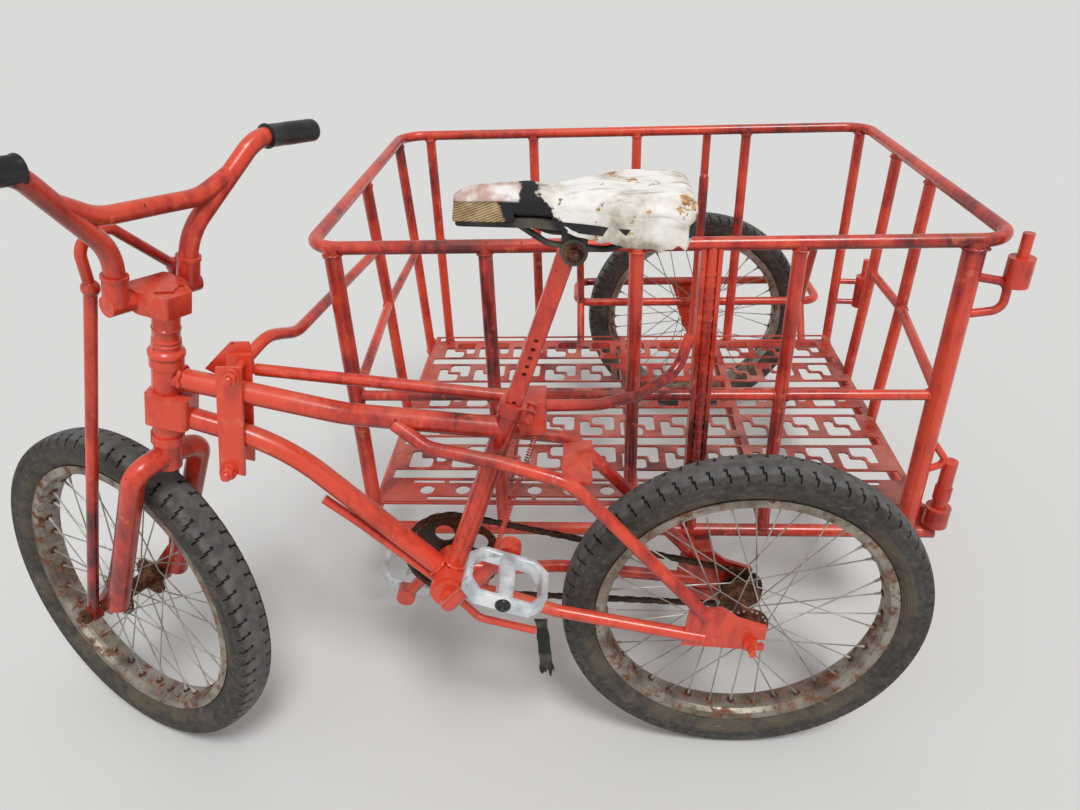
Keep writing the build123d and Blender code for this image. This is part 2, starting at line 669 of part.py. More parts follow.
far_pin = Vector(REAR_X - 45, FAR_Y + 20, MID_Z - 116)
with BuildPart() as far_socket:
    drum(far_pin, (0, 0, 1), 17.0, 70)
    drum(far_pin + Vector(0, 0, 48), (0, 0, 1), 8.0, 50)
    for up in (-26, 22):
        tube([(CORNER_POST_X, CORNER_POST_Y, far_pin.Z + up), far_pin + Vector(0, 0, up)], 6.0)
    cut_by(far_uprights.part, rear_uprights.part)
far_socket = main_run(far_socket.part)
save(far_socket, "far_socket")

# Short inner upright with a rounded top, beside the tall outer one
UPRIGHT_X = SIDE_X + 14
with BuildPart() as wheel_uprights:
    tube([(UPRIGHT_X, FAR_Y - 1, BEAM_Z), (UPRIGHT_X, FAR_Y - 1, TOP_Z - 99)], POST_TUBE)
    with Locations((UPRIGHT_X, FAR_Y - 1, TOP_Z - 99)):
        Sphere(POST_TUBE)
    tube([(UPRIGHT_X - 2, FAR_Y - 21.5, OUTRIGGER_Z), (UPRIGHT_X - 2, FAR_Y - 14, TOP_Z)], 8.5)
    cut_by(cage_rim.part, floor_beams.part, mid_rails.part)
save(wheel_uprights.part, "wheel_uprights")

# Outrigger round the third wheel
out_near = SIDE_Y + OUTRIGGER_GAP / 2
out_far = SIDE_Y - OUTRIGGER_GAP / 2
with BuildPart() as outrigger:
    hoop(
        [(OUTRIGGER_FRONT, out_near, OUTRIGGER_Z), (OUTRIGGER_FRONT, out_far, OUTRIGGER_Z),
         (OUTRIGGER_REAR, out_far, OUTRIGGER_Z), (OUTRIGGER_REAR, out_near, OUTRIGGER_Z)],
        OUTRIGGER_BEND,
        OUTRIGGER_TUBE,
    )
    for y in (out_near, out_far):
        face = Plane(origin=(SIDE_X, y, AXLE_HEIGHT), x_dir=(1, 0, 0), z_dir=(0, -1, 0))
        with BuildSketch(face) as plate:
            with BuildLine():
                Polyline((52, OUTRIGGER_RISE), (-52, OUTRIGGER_RISE), (-20, -20), (20, -20), close=True)
            make_face()
        extrude(plate.sketch, amount=2.5, both=True)
    drum(SIDE_AXLE, ACROSS, AXLE_RADIUS + 0.01, OUTRIGGER_GAP + 20, mode=Mode.SUBTRACT)
    cut_by(wheel_uprights.part)
save(outrigger.part, "outrigger")

# Struts that hang the outrigger from the cage
with BuildPart() as outrigger_struts:
    for x in (OUTRIGGER_FRONT - 8, OUTRIGGER_REAR + 40):
        tube([(x, out_near, OUTRIGGER_Z), (x, FAR_Y, MID_Z)], 8.5)
        tube([(x, out_near, OUTRIGGER_Z), (x, FAR_Y, BEAM_Z)], 8.5)
    cut_by(outrigger.part, mid_rails.part, floor_beams.part, far_uprights.part)
save(outrigger_struts.part, "outrigger_struts")

with BuildPart() as side_axle:
    drum(SIDE_AXLE, ACROSS, AXLE_RADIUS, OUTRIGGER_GAP + 44)
    for side in (-1, 1):
        seat = SIDE_AXLE + ACROSS * (side * (OUTRIGGER_GAP / 2 + 2.5))
        with BuildSketch(Plane(origin=seat, z_dir=ACROSS * side)) as nut:
            RegularPolygon(NUT_RADIUS, 6)
        extrude(nut.sketch, amount=NUT_HEIGHT)
        inner = HUB_HALF + 1.2
        outer = OUTRIGGER_GAP / 2 - 2.8
        drum(SIDE_AXLE + ACROSS * (side * (inner + outer) / 2), ACROSS, 9.0, outer - inner)
save(side_axle.part, "side_axle")


# Seat post of square tube with its row of holes, and the clamp with its ears and bolt
hole_places = (20, 62, 73, 85, 97, 109)
with BuildPart() as seat_post:
    with BuildSketch(Plane(origin=CLUSTER + post_run * 0.3, x_dir=(0, 1, 0), z_dir=post_run)) as section:
        RectangleRounded(POST_SIDE, POST_SIDE, 4)
    extrude(section.sketch, amount=POST_LENGTH)
    for place in hole_places:
        drum(CLUSTER + post_run * place, ACROSS, 2.8, 40, mode=Mode.SUBTRACT)
    drum(CLUSTER + post_run * 8.2, post_run, 17.5, 16)
    with BuildSketch(Plane(origin=CLUSTER + post_run * 0.2, x_dir=(0, 1, 0), z_dir=post_run)) as ears:
        with Locations((9, 20), (-9, 20)):
            Rectangle(5, 22)
    extrude(ears.sketch, amount=16)
    drum(CLUSTER + post_run * 8.2 + post_run.cross(ACROSS) * 24 + ACROSS * 4.1, ACROSS, 5.5, 31.8)
save(seat_post.part, "seat_post")

# Saddle pan with rails and clamp
SEAT_TOP = CLUSTER + post_run * POST_LENGTH
saddle_outline = (  # behind the nose as a share of the length, half width as a share
    (0.0, 0.24), (0.36, 0.4), (0.72, 0.92), (0.95, 1.0), (1.0, 0.78),
)
saddle_length = SADDLE_NOSE + SADDLE_TAIL


def saddle_shape(grow, height):
    """Level outline of the saddle, grown by a margin, at a height over the seat post."""
    with BuildSketch(Plane.XY.offset(SEAT_TOP.Z + height)) as shape:
        with BuildLine():
            front = SEAT_TOP.X + SADDLE_NOSE + grow
            side = [
                (front - back * (saddle_length + 2 * grow), wide * SADDLE_HALF + grow)
                for back, wide in saddle_outline
            ]
            Polyline(*side, *((x, -y) for x, y in reversed(side)), close=True)
        make_face()
        fillet(shape.vertices(), 9)
    return shape.sketch


with BuildPart() as saddle_pan:
    drum(SEAT_TOP + Vector(-6, 0, 2), ACROSS, 15.0, 52)
    for side in (-1, 1):
        tube(
            [SEAT_TOP + Vector(60, side * 8, SADDLE_RISE + 4), SEAT_TOP + Vector(22, side * 20, 11),
             SEAT_TOP + Vector(-40, side * 24, 5), SEAT_TOP + Vector(-114, side * 34, SADDLE_RISE + 2)],
            3.5,
            [30, 30],
        )
    extrude(saddle_shape(-5, SADDLE_RISE), amount=SADDLE_PAN)
    cut_by(seat_post.part)
save(saddle_pan.part, "saddle_pan")

with BuildPart() as saddle_cover:
    extrude(saddle_shape(0, SADDLE_RISE + SADDLE_PAN + SOFT_GAP), amount=SADDLE_THICKNESS)
    fillet(saddle_cover.faces().sort_by(Axis.Z)[-1].edges(), 12)
save(saddle_cover.part, "saddle_cover")


# Steering parts
with BuildPart() as fork:
    drum(on_head(-20), AXIS_UP, 17.5, 39)
    drum(on_head(HEAD_LENGTH / 2 - 8), AXIS_UP, STEERER, HEAD_LENGTH + 17)
    for side in (-1, 1):
        tube(
            [steered(0, 0, -20), steered(0, side * FORK_SPREAD, -30),
             steered(46, side * FORK_SPREAD, 22 - FORK_LENGTH)],
            BLADE_TUBE,
            [24],
        )
        tab_plane = Plane(origin=steered(0, side * 50, 0), x_dir=AHEAD, z_dir=-LEFT)
        with BuildSketch(tab_plane) as tab:
            with BuildLine():
                Polyline(
                    (38, 60 - FORK_LENGTH), (62, 60 - FORK_LENGTH), (90, 4 - FORK_LENGTH),
                    (78, -14 - FORK_LENGTH), (62, -10 - FORK_LENGTH), close=True,
                )
            make_face()
        extrude(tab.sketch, amount=3, both=True)
    drum(FRONT_AXLE, LEFT, AXLE_RADIUS + 0.01, 160, mode=Mode.SUBTRACT)
save(fork.part, "fork")

# Truss rods that end in a hand bent hoop, higher on its left side
with BuildPart() as truss_rods:
    for side in (-1, 1):
        top = steered(TRUSS_REACH, side * TRUSS_TOP, TRUSS_LEVEL)
        tube([steered(FORK_RAKE, side * TRUSS_SPREAD, 8 - FORK_LENGTH), top], TRUSS_TUBE)
        drum(steered(FORK_RAKE, side * TRUSS_SPREAD, -FORK_LENGTH), LEFT, 13.0, 16)
        with Locations(top):
            Sphere(10.5)
    hoop_corners = ((0, TRUSS_TOP, 0), (4, TRUSS_TOP + 10, 56), (2, TRUSS_TOP - 27, 68), (0, -TRUSS_TOP, 0))
    tube([steered(TRUSS_REACH + fore, y, TRUSS_LEVEL + up) for fore, y, up in hoop_corners], 6.5, [22, 22])
    drum(FRONT_AXLE, LEFT, AXLE_RADIUS + 0.01, 200, mode=Mode.SUBTRACT)
save(truss_rods.part, "truss_rods")

with BuildPart() as front_axle:
    drum(FRONT_AXLE, LEFT, AXLE_RADIUS, 2 * TRUSS_SPREAD + 48)
    for side in (-1, 1):
        seat = FRONT_AXLE + LEFT * (side * (TRUSS_SPREAD + 8.2))
        with BuildSketch(Plane(origin=seat, z_dir=LEFT * side)) as nut:
            RegularPolygon(NUT_RADIUS, 6)
        extrude(nut.sketch, amount=NUT_HEIGHT)
        drum(FRONT_AXLE + LEFT * (side * (HUB_HALF + 3.3)), LEFT, 9.0, 5.0)
        inner = FORK_SPREAD + 1.2
        outer = TRUSS_SPREAD - 8.4
        drum(FRONT_AXLE + LEFT * (side * (inner + outer) / 2), LEFT, 8.5, outer - inner)
save(front_axle.part, "front_axle")

# Stem: quill, and a plate over the bar with two slots in its top
STEM_HALF = 14.0
with BuildPart() as stem:
    stem_foot = HEAD_LENGTH + 0.5
    drum(on_head((stem_foot + BAR_LEVEL) / 2), AXIS_UP, 14.0, BAR_LEVEL - stem_foot)
    stem_plane = Plane(origin=on_head(BAR_LEVEL - STEM_HALF), x_dir=AHEAD, z_dir=AXIS_UP)
    with BuildSketch(stem_plane) as body:
        with BuildLine():
            Polyline(
                (-23, 19), (-23, -19), (BAR_REACH - 12, -31), (BAR_REACH + 17, -31),
                (BAR_REACH + 17, 31), (BAR_REACH - 12, 31), close=True,
            )
        make_face()
        fillet(body.vertices(), 6)
    extrude(body.sketch, amount=2 * STEM_HALF)
    with BuildSketch(stem_plane.offset(2 * STEM_HALF - 3)) as slots:
        with Locations(Location((-8, 8, 0), (0, 0, 62)), Location((-8, -12, 0), (0, 0, 118))):
            SlotOverall(22, 7)
    extrude(slots.sketch, amount=6, mode=Mode.SUBTRACT)
    drum(steered(BAR_REACH, 0, BAR_LEVEL), LEFT, BAR_TUBE + 1, 128, mode=Mode.SUBTRACT)
save(stem.part, "stem")

# Handlebar: two risers out of elbow sleeves, swept to the grips, with a cranked crossbar
BAR_SHOULDER = BAR_LEVEL + 0.38 * BAR_RISE
bar_slope = (BAR_RISE - (BAR_SHOULDER - BAR_LEVEL)) / 100
with BuildPart() as handlebar:
    centre_half = BAR_FOOT + 12
    tube([steered(BAR_REACH, y, BAR_LEVEL) for y in (-centre_half, centre_half)], BAR_TUBE + 1)
    riser = (
        (BAR_FOOT, BAR_LEVEL), (BAR_FOOT, BAR_SHOULDER), (BAR_FOOT + 100, BAR_LEVEL + BAR_RISE),
        (BAR_HALF, BAR_LEVEL + BAR_RISE),
    )
    for side in (-1, 1):
        tube([steered(BAR_REACH, side * y, up) for y, up in riser], BAR_TUBE, [70, 50])
        drum(steered(BAR_REACH, side * BAR_FOOT, BAR_LEVEL + 18), AXIS_UP, BAR_TUBE + 2.2, 36)
        drum(steered(BAR_REACH, side * BAR_FOOT, BAR_LEVEL + 34), AXIS_UP, BAR_TUBE + 3.4, 4)
    cross_y = BAR_FOOT + 64
    cross_up = BAR_SHOULDER + 64 * bar_slope
    cranked = ((cross_y, 0), (BAR_FOOT + 16, -24), (-BAR_FOOT - 16, -24), (-cross_y, 0))
    tube([steered(BAR_REACH, y, cross_up + dip) for y, dip in cranked], CROSSBAR_TUBE, [70, 70])
save(handlebar.part, "handlebar")

with BuildPart() as grips:
    for side in (-1, 1):
        outer = steered(BAR_REACH, side * BAR_HALF, BAR_LEVEL + BAR_RISE)
        tube([outer - LEFT * (side * GRIP_LENGTH), outer + LEFT * (side * 4)], GRIP_TUBE)
    cut_by(handlebar.part)
save(grips.part, "grips")


# Drive
ring_radius = PITCH / (2 * math.sin(math.pi / RING_TEETH))
sprocket_radius = PITCH / (2 * math.sin(math.pi / SPROCKET_TEETH))
ROLLER = 4.0
CRANK_DIR = Vector(math.cos(math.radians(CRANK_REST)), 0, math.sin(math.radians(CRANK_REST)))


def toothed(centre, radius, teeth, thickness):
    """Disc with pointed teeth that stay inside the chain."""
    root = radius - ROLLER - 2.0
    tip = radius - ROLLER - 0.4
    with BuildSketch(Plane(origin=centre, x_dir=(1, 0, 0), z_dir=(0, -1, 0))) as disc:
        Circle(root)
        with PolarLocations(root - 0.6, teeth):
            RegularPolygon(tip - root + 0.6, 3)
    extrude(disc.sketch, amount=thickness / 2, both=True)


with BuildPart() as chainring:
    toothed(BRACKET + ACROSS * CHAIN_Y, ring_radius, RING_TEETH, 3.2)
    with BuildSketch(Plane(origin=BRACKET + ACROSS * CHAIN_Y, x_dir=(1, 0, 0), z_dir=(0, -1, 0))) as windows:
        with PolarLocations(ring_radius * 0.58, 5):
            Circle(ring_radius * 0.2)
    extrude(windows.sketch, amount=4, both=True, mode=Mode.SUBTRACT)
    drum(BRACKET + ACROSS * CHAIN_Y, ACROSS, CRANK_TUBE, 20, mode=Mode.SUBTRACT)
save(chainring.part, "chainring")

left_eye = BRACKET + ACROSS * EYE_Y + CRANK_DIR * CRANK_LENGTH
right_eye = BRACKET - ACROSS * EYE_Y - CRANK_DIR * CRANK_LENGTH
bend_y = EYE_Y - 18
with BuildPart() as crank:
    tube(
        [left_eye, BRACKET + ACROSS * bend_y, BRACKET - ACROSS * bend_y, right_eye],
        CRANK_TUBE,
        [18, 18],
    )
    for eye in (left_eye, right_eye):
        drum(eye, ACROSS, 14.5, EYE_LENGTH)
save(crank.part, "crank")

with BuildPart() as rear_sprocket:
    toothed(REAR_AXLE + ACROSS * CHAIN_Y, sprocket_radius, SPROCKET_TEETH, 3.0)
    drum(REAR_AXLE + ACROSS * (CHAIN_Y + 3), ACROSS, 20.0, 10)
    drum(REAR_AXLE + ACROSS * CHAIN_Y, ACROSS, HUB_NECK + 0.3, 40, mode=Mode.SUBTRACT)
save(rear_sprocket.part, "rear_sprocket")

# Chain: a closed band with the outer plates of every second link fused on
LINK_HALF = 3.4
LINK_OVERLAP = 6.6
chain_plane = Plane(origin=(0, CHAIN_Y, 0), x_dir=(1, 0, 0), z_dir=(0, -1, 0))
span = BRACKET - REAR_AXLE
slope = math.atan2(span.Z, span.X)
flare = math.asin((ring_radius - sprocket_radius) / math.hypot(span.X, span.Z))


def chain_line(extra):
    """Line round both sprockets, offset outwards from the pitch line, on the chain's plane."""
    ring = Vector(BRACKET.X, BRACKET.Z)
    cog = Vector(REAR_AXLE.X, REAR_AXLE.Z)
    big = ring_radius + extra
    small = sprocket_radius + extra
    upper = slope + flare + math.pi / 2
    lower = slope - flare - math.pi / 2
    rest = slope + math.pi

    def at(centre, radius, angle):
        return centre + Vector(math.cos(angle), math.sin(angle)) * radius

    with BuildLine() as line:
        Line(at(ring, big, upper), at(cog, small, upper))
        ThreePointArc(at(cog, small, upper), at(cog, small, rest), at(cog, small, lower))
        Line(at(cog, small, lower), at(ring, big, lower))
        ThreePointArc(at(ring, big, lower), at(ring, big, slope), at(ring, big, upper))
    return line.wire()


pitch_line = chain_line(0)
link_count = 2 * round(pitch_line.length / PITCH / 2)
pins = [pitch_line @ (i / link_count) for i in range(link_count)]
link_places = []
for pin, next_pin in zip(pins[::2], pins[1::2]):
    middle = (pin + next_pin) * 0.5
    heading = math.degrees(math.atan2(next_pin.Y - pin.Y, next_pin.X - pin.X))
    link_places.append(Location((middle.X, middle.Y, 0), (0, 0, heading)))
with BuildPart() as chain:
    with BuildSketch(chain_plane) as band:
        make_face(chain_line(LINK_HALF - 0.9))
        make_face(chain_line(0.9 - LINK_HALF), mode=Mode.SUBTRACT)
    extrude(band.sketch, amount=2.3, both=True)
    with BuildSketch(chain_plane) as plates:
        with Locations(*link_places):
            Rectangle(PITCH + LINK_OVERLAP, 2 * LINK_HALF)
    extrude(plates.sketch, amount=3.4, both=True)
save(chain.part, "chain")


def build_pedal(name, eye, side):
    """Platform pedal with two windows beside its spindle, chamfered fore and aft."""
    centre = eye + ACROSS * (side * (PEDAL_Y - EYE_Y))
    with BuildPart() as pedal:
        tilt = Plane(origin=centre, x_dir=Vector(0.94, 0, 0.34), z_dir=Vector(-0.34, 0, 0.94))
        with BuildSketch(tilt) as platform:
            Rectangle(PEDAL_LENGTH, PEDAL_WIDTH)
            chamfer(platform.vertices(), 16, 22)
            with GridLocations(0.5 * PEDAL_LENGTH, 0, 2, 1):
                RectangleRounded(0.29 * PEDAL_LENGTH, 0.68 * PEDAL_WIDTH, 5, mode=Mode.SUBTRACT)
        extrude(platform.sketch, amount=PEDAL_THICKNESS / 2, both=True)
        drum(centre, ACROSS, 9.0, PEDAL_WIDTH)
        drum(centre + ACROSS * (side * (PEDAL_WIDTH / 2 + 1)), ACROSS, 9.5, 3)
        collar = eye + ACROSS * (side * (EYE_LENGTH / 2 + 0.3))
        tube([collar, centre], 6.5)
    save(pedal.part, name)


build_pedal("left_pedal", left_eye, 1)
build_pedal("right_pedal", right_eye, -1)

# Brake lever under the bottom bracket, with a rubber flap, and the spring behind the seat tube
with BuildPart() as brake_lever:
    lever_run = ((-8, 24, -18), (-40, 36, -46), (-120, 49, -56))
    tube([BRACKET + Vector(*spot) for spot in lever_run], 5.5, [30])
    cut_by(seat_tube.part, chain_stays.part)
brake_lever = main_run(brake_lever.part)
save(brake_lever, "brake_lever")

with BuildPart() as brake_flap:
    face = Plane(origin=BRACKET + ACROSS * 50, x_dir=(1, 0, 0), z_dir=(0, -1, 0))
    with BuildSketch(face) as flap:
        with BuildLine():
            Polyline((-116, -34), (-138, -32), (-146, -142), (-120, -148), close=True)
        make_face()
    extrude(flap.sketch, amount=3, both=True)
    cut_by(brake_lever, chain_stays.part)
save(brake_flap.part, "brake_flap")

with BuildPart() as brake_spring:
    tube(
        [CLUSTER + Vector(-44, -26, -2), CLUSTER + Vector(-20, -4, -72), BRACKET + Vector(-66, 8, 52),
         BRACKET + Vector(-50, 24, 0)],
        3.5,
        [150, 60],
    )
    cut_by(seat_bracket, seat_stays.part, chain_stays.part, brake_lever)
brake_spring = main_run(brake_spring.part)
save(brake_spring, "brake_spring")

# The origin goes to the floor under the middle of the whole vehicle
boxes = [part.bounding_box() for part in finished.values()]
middle_x = (min(box.min.X for box in boxes) + max(box.max.X for box in boxes)) / 2
middle_y = (min(box.min.Y for box in boxes) + max(box.max.Y for box in boxes)) / 2
for name, part in finished.items():
    placed = part.moved(Location((-middle_x, -middle_y, 0)))
    placed.label = name
    export_step(placed, "parts/" + name + ".step")
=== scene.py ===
import bmesh
import bpy
import json
import math
import random
from mathutils import Matrix, Vector, noise
from mathutils.bvhtree import BVHTree

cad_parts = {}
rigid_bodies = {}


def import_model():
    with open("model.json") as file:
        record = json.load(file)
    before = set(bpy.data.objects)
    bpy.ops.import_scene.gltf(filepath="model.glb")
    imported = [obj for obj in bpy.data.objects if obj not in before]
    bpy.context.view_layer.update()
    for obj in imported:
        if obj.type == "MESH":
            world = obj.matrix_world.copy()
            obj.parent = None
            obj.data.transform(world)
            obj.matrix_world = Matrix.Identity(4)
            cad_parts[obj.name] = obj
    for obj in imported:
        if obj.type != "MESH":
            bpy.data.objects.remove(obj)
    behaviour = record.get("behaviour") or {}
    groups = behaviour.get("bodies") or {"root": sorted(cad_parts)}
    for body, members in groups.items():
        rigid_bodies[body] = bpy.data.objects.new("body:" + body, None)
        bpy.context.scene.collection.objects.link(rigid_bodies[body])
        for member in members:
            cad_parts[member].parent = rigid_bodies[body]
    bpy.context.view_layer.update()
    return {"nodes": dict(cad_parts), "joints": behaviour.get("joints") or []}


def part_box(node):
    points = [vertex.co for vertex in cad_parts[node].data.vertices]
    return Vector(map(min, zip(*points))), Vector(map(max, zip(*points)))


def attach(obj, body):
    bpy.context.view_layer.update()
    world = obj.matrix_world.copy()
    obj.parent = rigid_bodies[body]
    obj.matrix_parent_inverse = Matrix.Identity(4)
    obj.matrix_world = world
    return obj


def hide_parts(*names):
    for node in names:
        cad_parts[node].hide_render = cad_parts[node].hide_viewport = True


# An empty scene, and then the frame with its nodes and joints
for leftover in list(bpy.data.objects):
    bpy.data.objects.remove(leftover, do_unlink=True)
bpy.context.view_layer.update()
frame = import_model()
nodes = frame["nodes"]
joints = {joint["name"]: joint for joint in frame["joints"]}

# Scale, axes and joints. The fork is turned to the rider's right, as in the photo.
MM = 0.001
ALONG, ACROSS, UP = Vector((1, 0, 0)), Vector((0, 1, 0)), Vector((0, 0, 1))
REAR_AXLE = Vector(joints["rear_wheel_spin"]["pos_m"])
FRONT_AXLE = Vector(joints["front_wheel_spin"]["pos_m"])
SIDE_AXLE = Vector(joints["side_wheel_spin"]["pos_m"])
STEER_AXIS = Vector(joints["steering"]["axis"]).normalized()
TURN = math.radians(-26)
STRAIGHT = Vector((STEER_AXIS.z, 0, -STEER_AXIS.x))
AHEAD = STRAIGHT * math.cos(TURN) + ACROSS * math.sin(TURN)
LEFT = STRAIGHT * -math.sin(TURN) + ACROSS * math.cos(TURN)


def at(x, y, z):
    """A place in the frame's metres, from millimetres ahead, left and up of the floor under the rear axle."""
    return Vector((REAR_AXLE.x + x * MM, REAR_AXLE.y + y * MM, z * MM))


# Places on the bicycle
CRANK_X, CRANK_Z = 412, 318
BRACKET = at(CRANK_X, 0, CRANK_Z)
HEAD_BASE = at(764, 0, 546)
CLUSTER = at(316, 0, 588)
DOWN_BEND = at(612, 0, 538)
SEAT_TOP = at(240.3, 0, 800.9)

# The cage's sides and levels and the radii of the pipes, in millimetres
NEAR_Y, FAR_Y, BEAM_Z, MID_Z, TOP_Z = -200, -882, 240, 496, 731
POST, BEAM, RAIL, FRAME_TUBE = 10.0, 9.0, 8.0, 14.3


def steered(ahead, left, up):
    """A place on the turned fork, from millimetres ahead, left and up of the foot of the head."""
    return HEAD_BASE + (AHEAD * ahead + LEFT * left + STEER_AXIS * up) * MM


def tone(code):
    """A colour written as six hex digits, made linear."""
    parts = [int(code[i:i + 2], 16) / 255 for i in (0, 2, 4)]
    return tuple(c / 12.92 if c <= 0.04045 else ((c + 0.055) / 1.055) ** 2.4 for c in parts)


# Surface finishes

class Value:
    """What changes over a surface. Sums and products of it add Math nodes."""

    def __init__(self, finish, socket):
        self.finish = finish
        self.socket = socket

    def count(self, operation, first, second):
        """What a Math node makes of two values."""
        return self.finish.node("ShaderNodeMath", {"operation": operation}, {0: first, 1: second})

    def __add__(self, other):
        return self.count("ADD", self, other)

    def __radd__(self, other):
        return self.count("ADD", other, self)

    def __sub__(self, other):
        return self.count("SUBTRACT", self, other)

    def __rsub__(self, other):
        return self.count("SUBTRACT", other, self)

    def __mul__(self, other):
        return self.count("MULTIPLY", self, other)

    def __rmul__(self, other):
        return self.count("MULTIPLY", other, self)

    def between(self, low, high):
        """0 at low, 1 at high, smooth between and level beyond. Low may be the greater of the two."""
        limits = {"Value": self, "From Min": min(low, high), "From Max": max(low, high)}
        if low > high:
            limits.update({"To Min": 1.0, "To Max": 0.0})
        return self.finish.node("ShaderNodeMapRange", {"interpolation_type": "SMOOTHSTEP"}, limits)

    def wave(self, length):
        """A ripple of that length, from -1 to 1."""
        return self.finish.node("ShaderNodeMath", {"operation": "SINE"}, {0: self * (2 * math.pi / length)})


class Finish:
    """One finish, from its colours and wear to the shader."""

    def __init__(self, name):
        self.material = bpy.data.materials.new(name)
        self.material.use_nodes = True
        self.tree = self.material.node_tree
        self.tree.nodes.clear()
        self.shader = self.tree.nodes.new("ShaderNodeBsdfPrincipled")
        output = self.tree.nodes.new("ShaderNodeOutputMaterial")
        self.tree.links.new(self.shader.outputs[0], output.inputs[0])
        self.shader.inputs["IOR"].default_value = 1.5
        self.place = self.node("ShaderNodeTexCoord", out="Object")

    def node(self, kind, settings=None, sockets=None, out=0):
        """A node with its settings and what goes into it, as the value of one of its outputs."""
        made = self.tree.nodes.new(kind)
        for key, value in (settings or {}).items():
            setattr(made, key, value)
        for key, value in (sockets or {}).items():
            self.fill(made.inputs[key], value)
        return Value(self, made.outputs[out])

    def fill(self, socket, value):
        """Links a value to the socket, or sets a colour's six digits or a number on it."""
        if isinstance(value, Value):
            self.tree.links.new(value.socket, socket)
        elif socket.type == "RGBA":
            socket.default_value = (*tone(value), 1)
        else:
            socket.default_value = value

    def grain(self, scale, detail, stretch=None, rough=0.55, shift=0.0):
        """Clouds, about 0.3 to 0.7, at so many to the metre."""
        where = self.place
        if stretch or shift:
            moves = {"Vector": where, "Scale": stretch or (1, 1, 1), "Location": (shift, shift, shift)}
            where = self.node("ShaderNodeMapping", None, moves)
        return self.node(
            "ShaderNodeTexNoise", None,
            {"Vector": where, "Scale": scale, "Detail": detail, "Roughness": rough},
        )

    def cells(self, scale):
        """Distance from the nearest of scattered spots, so many to the metre."""
        return self.node("ShaderNodeTexVoronoi", None, {"Vector": self.place, "Scale": scale}, "Distance")

    def ramp(self, value, *stops):
        """Colours that follow a value. A stop is a value with its colour."""
        colours = self.node("ShaderNodeValToRGB", None, {"Fac": value})
        elements = colours.socket.node.color_ramp.elements
        while len(elements) < len(stops):
            elements.new(1.0)
        for element, (spot, code) in zip(elements, stops):
            element.position = spot
            element.color = (*tone(code), 1)
        return colours

    def mix(self, share, first, second):
        """The first colour, covered by that share of the second."""
        return self.node(
            "ShaderNodeMix", {"data_type": "RGBA", "blend_type": "MIX", "clamp_factor": True},
            {0: share, 6: first, 7: second}, 2,
        )

    def part(self, vector, number):
        """One of the three numbers of a vector, counted from 0."""
        return self.node("ShaderNodeSeparateXYZ", None, {0: vector}, number)

    def facing_up(self):
        """1 where the surface faces up, -1 where it faces down."""
        return self.part(self.node("ShaderNodeTexCoord", out="Normal"), 2)

    def height(self):
        """Height over the floor, in metres."""
        return self.part(self.place, 2)

    def relief(self, height, depth, strength):
        """Bumps that follow a value, with their depth in metres."""
        bump = self.node("ShaderNodeBump", None, {"Height": height, "Distance": depth, "Strength": strength})
        self.fill(self.shader.inputs["Normal"], bump)

    def done(self, colour, roughness, **others):
        """The material, once the shader has its colour, its roughness and what else is given."""
        self.fill(self.shader.inputs["Base Color"], colour)
        self.fill(self.shader.inputs["Roughness"], roughness)
        for key, value in others.items():
            self.fill(self.shader.inputs[key.replace("_", " ").title()], value)
        return self.material


def brushed_enamel(name, dark, middle, bright, dust, dusty, worn):
    """Enamel put on by hand over old coats, with dust, chips and rust, painted shade on the faces that point down
    and painted highlights in scattered spots.
    """
    f = Finish(name)
    broad = f.grain(2.6, 2)
    patches = f.grain(17, 4)
    strokes = f.grain(1, 3, stretch=(95, 95, 16))
    cross = f.grain(1, 3, stretch=(18, 60, 80))
    mottle = broad * 0.5 + patches * 0.34 + strokes * 0.22
    paint = f.ramp(mottle, (0.41, dark), (0.50, middle), (0.58, bright))
    up = f.facing_up()
    # Painted shade: faces that point down are darkened towards 4E0F0E.
    under = up.between(0.1, -0.8) * 0.72
    paint = f.mix(under, paint, "4E0F0E")
    tops = up.between(0.25, 0.95) * f.grain(9, 4).between(0.38, 0.66) * dusty
    paint = f.mix(tops, paint, dust)
    # Painted highlight: scattered spots lightened to a pale orange, E67C48.
    painted_highlight_spots = f.grain(42, 4, rough=0.65).between(0.60, 0.70) * 0.5
    paint = f.mix(painted_highlight_spots, paint, "E67C48")
    low = f.height().between(0.34, 0.05)
    splash = low * f.grain(26, 4).between(0.42, 0.62) * 0.55
    paint = f.mix(splash, paint, "6B5647")
    chips = f.grain(150, 2).between(0.68, 0.71) * f.grain(7, 3).between(0.46, 0.58) * worn
    rust = f.ramp(f.grain(320, 2), (0.35, "2E1510"), (0.6, "7A3B22"))
    paint = f.mix(chips, paint, rust)
    stains = f.grain(33, 5, rough=0.7, shift=3.0).between(0.66, 0.78) * 0.5 * worn
    paint = f.mix(stains, paint, "5A2418")
    rough = 0.16 + patches * 0.26 + tops * 0.3 + chips * 0.3 + splash * 0.3
    surface = strokes * 0.5 + cross * 0.35 + patches * 0.4 + f.grain(420, 2) * 0.08 - chips * 0.5
    f.relief(surface, 0.0011, 0.55)
    f.shader.inputs["Coat Weight"].default_value = 0.4
    f.shader.inputs["Coat Roughness"].default_value = 0.14
    return f.done(paint, rough)


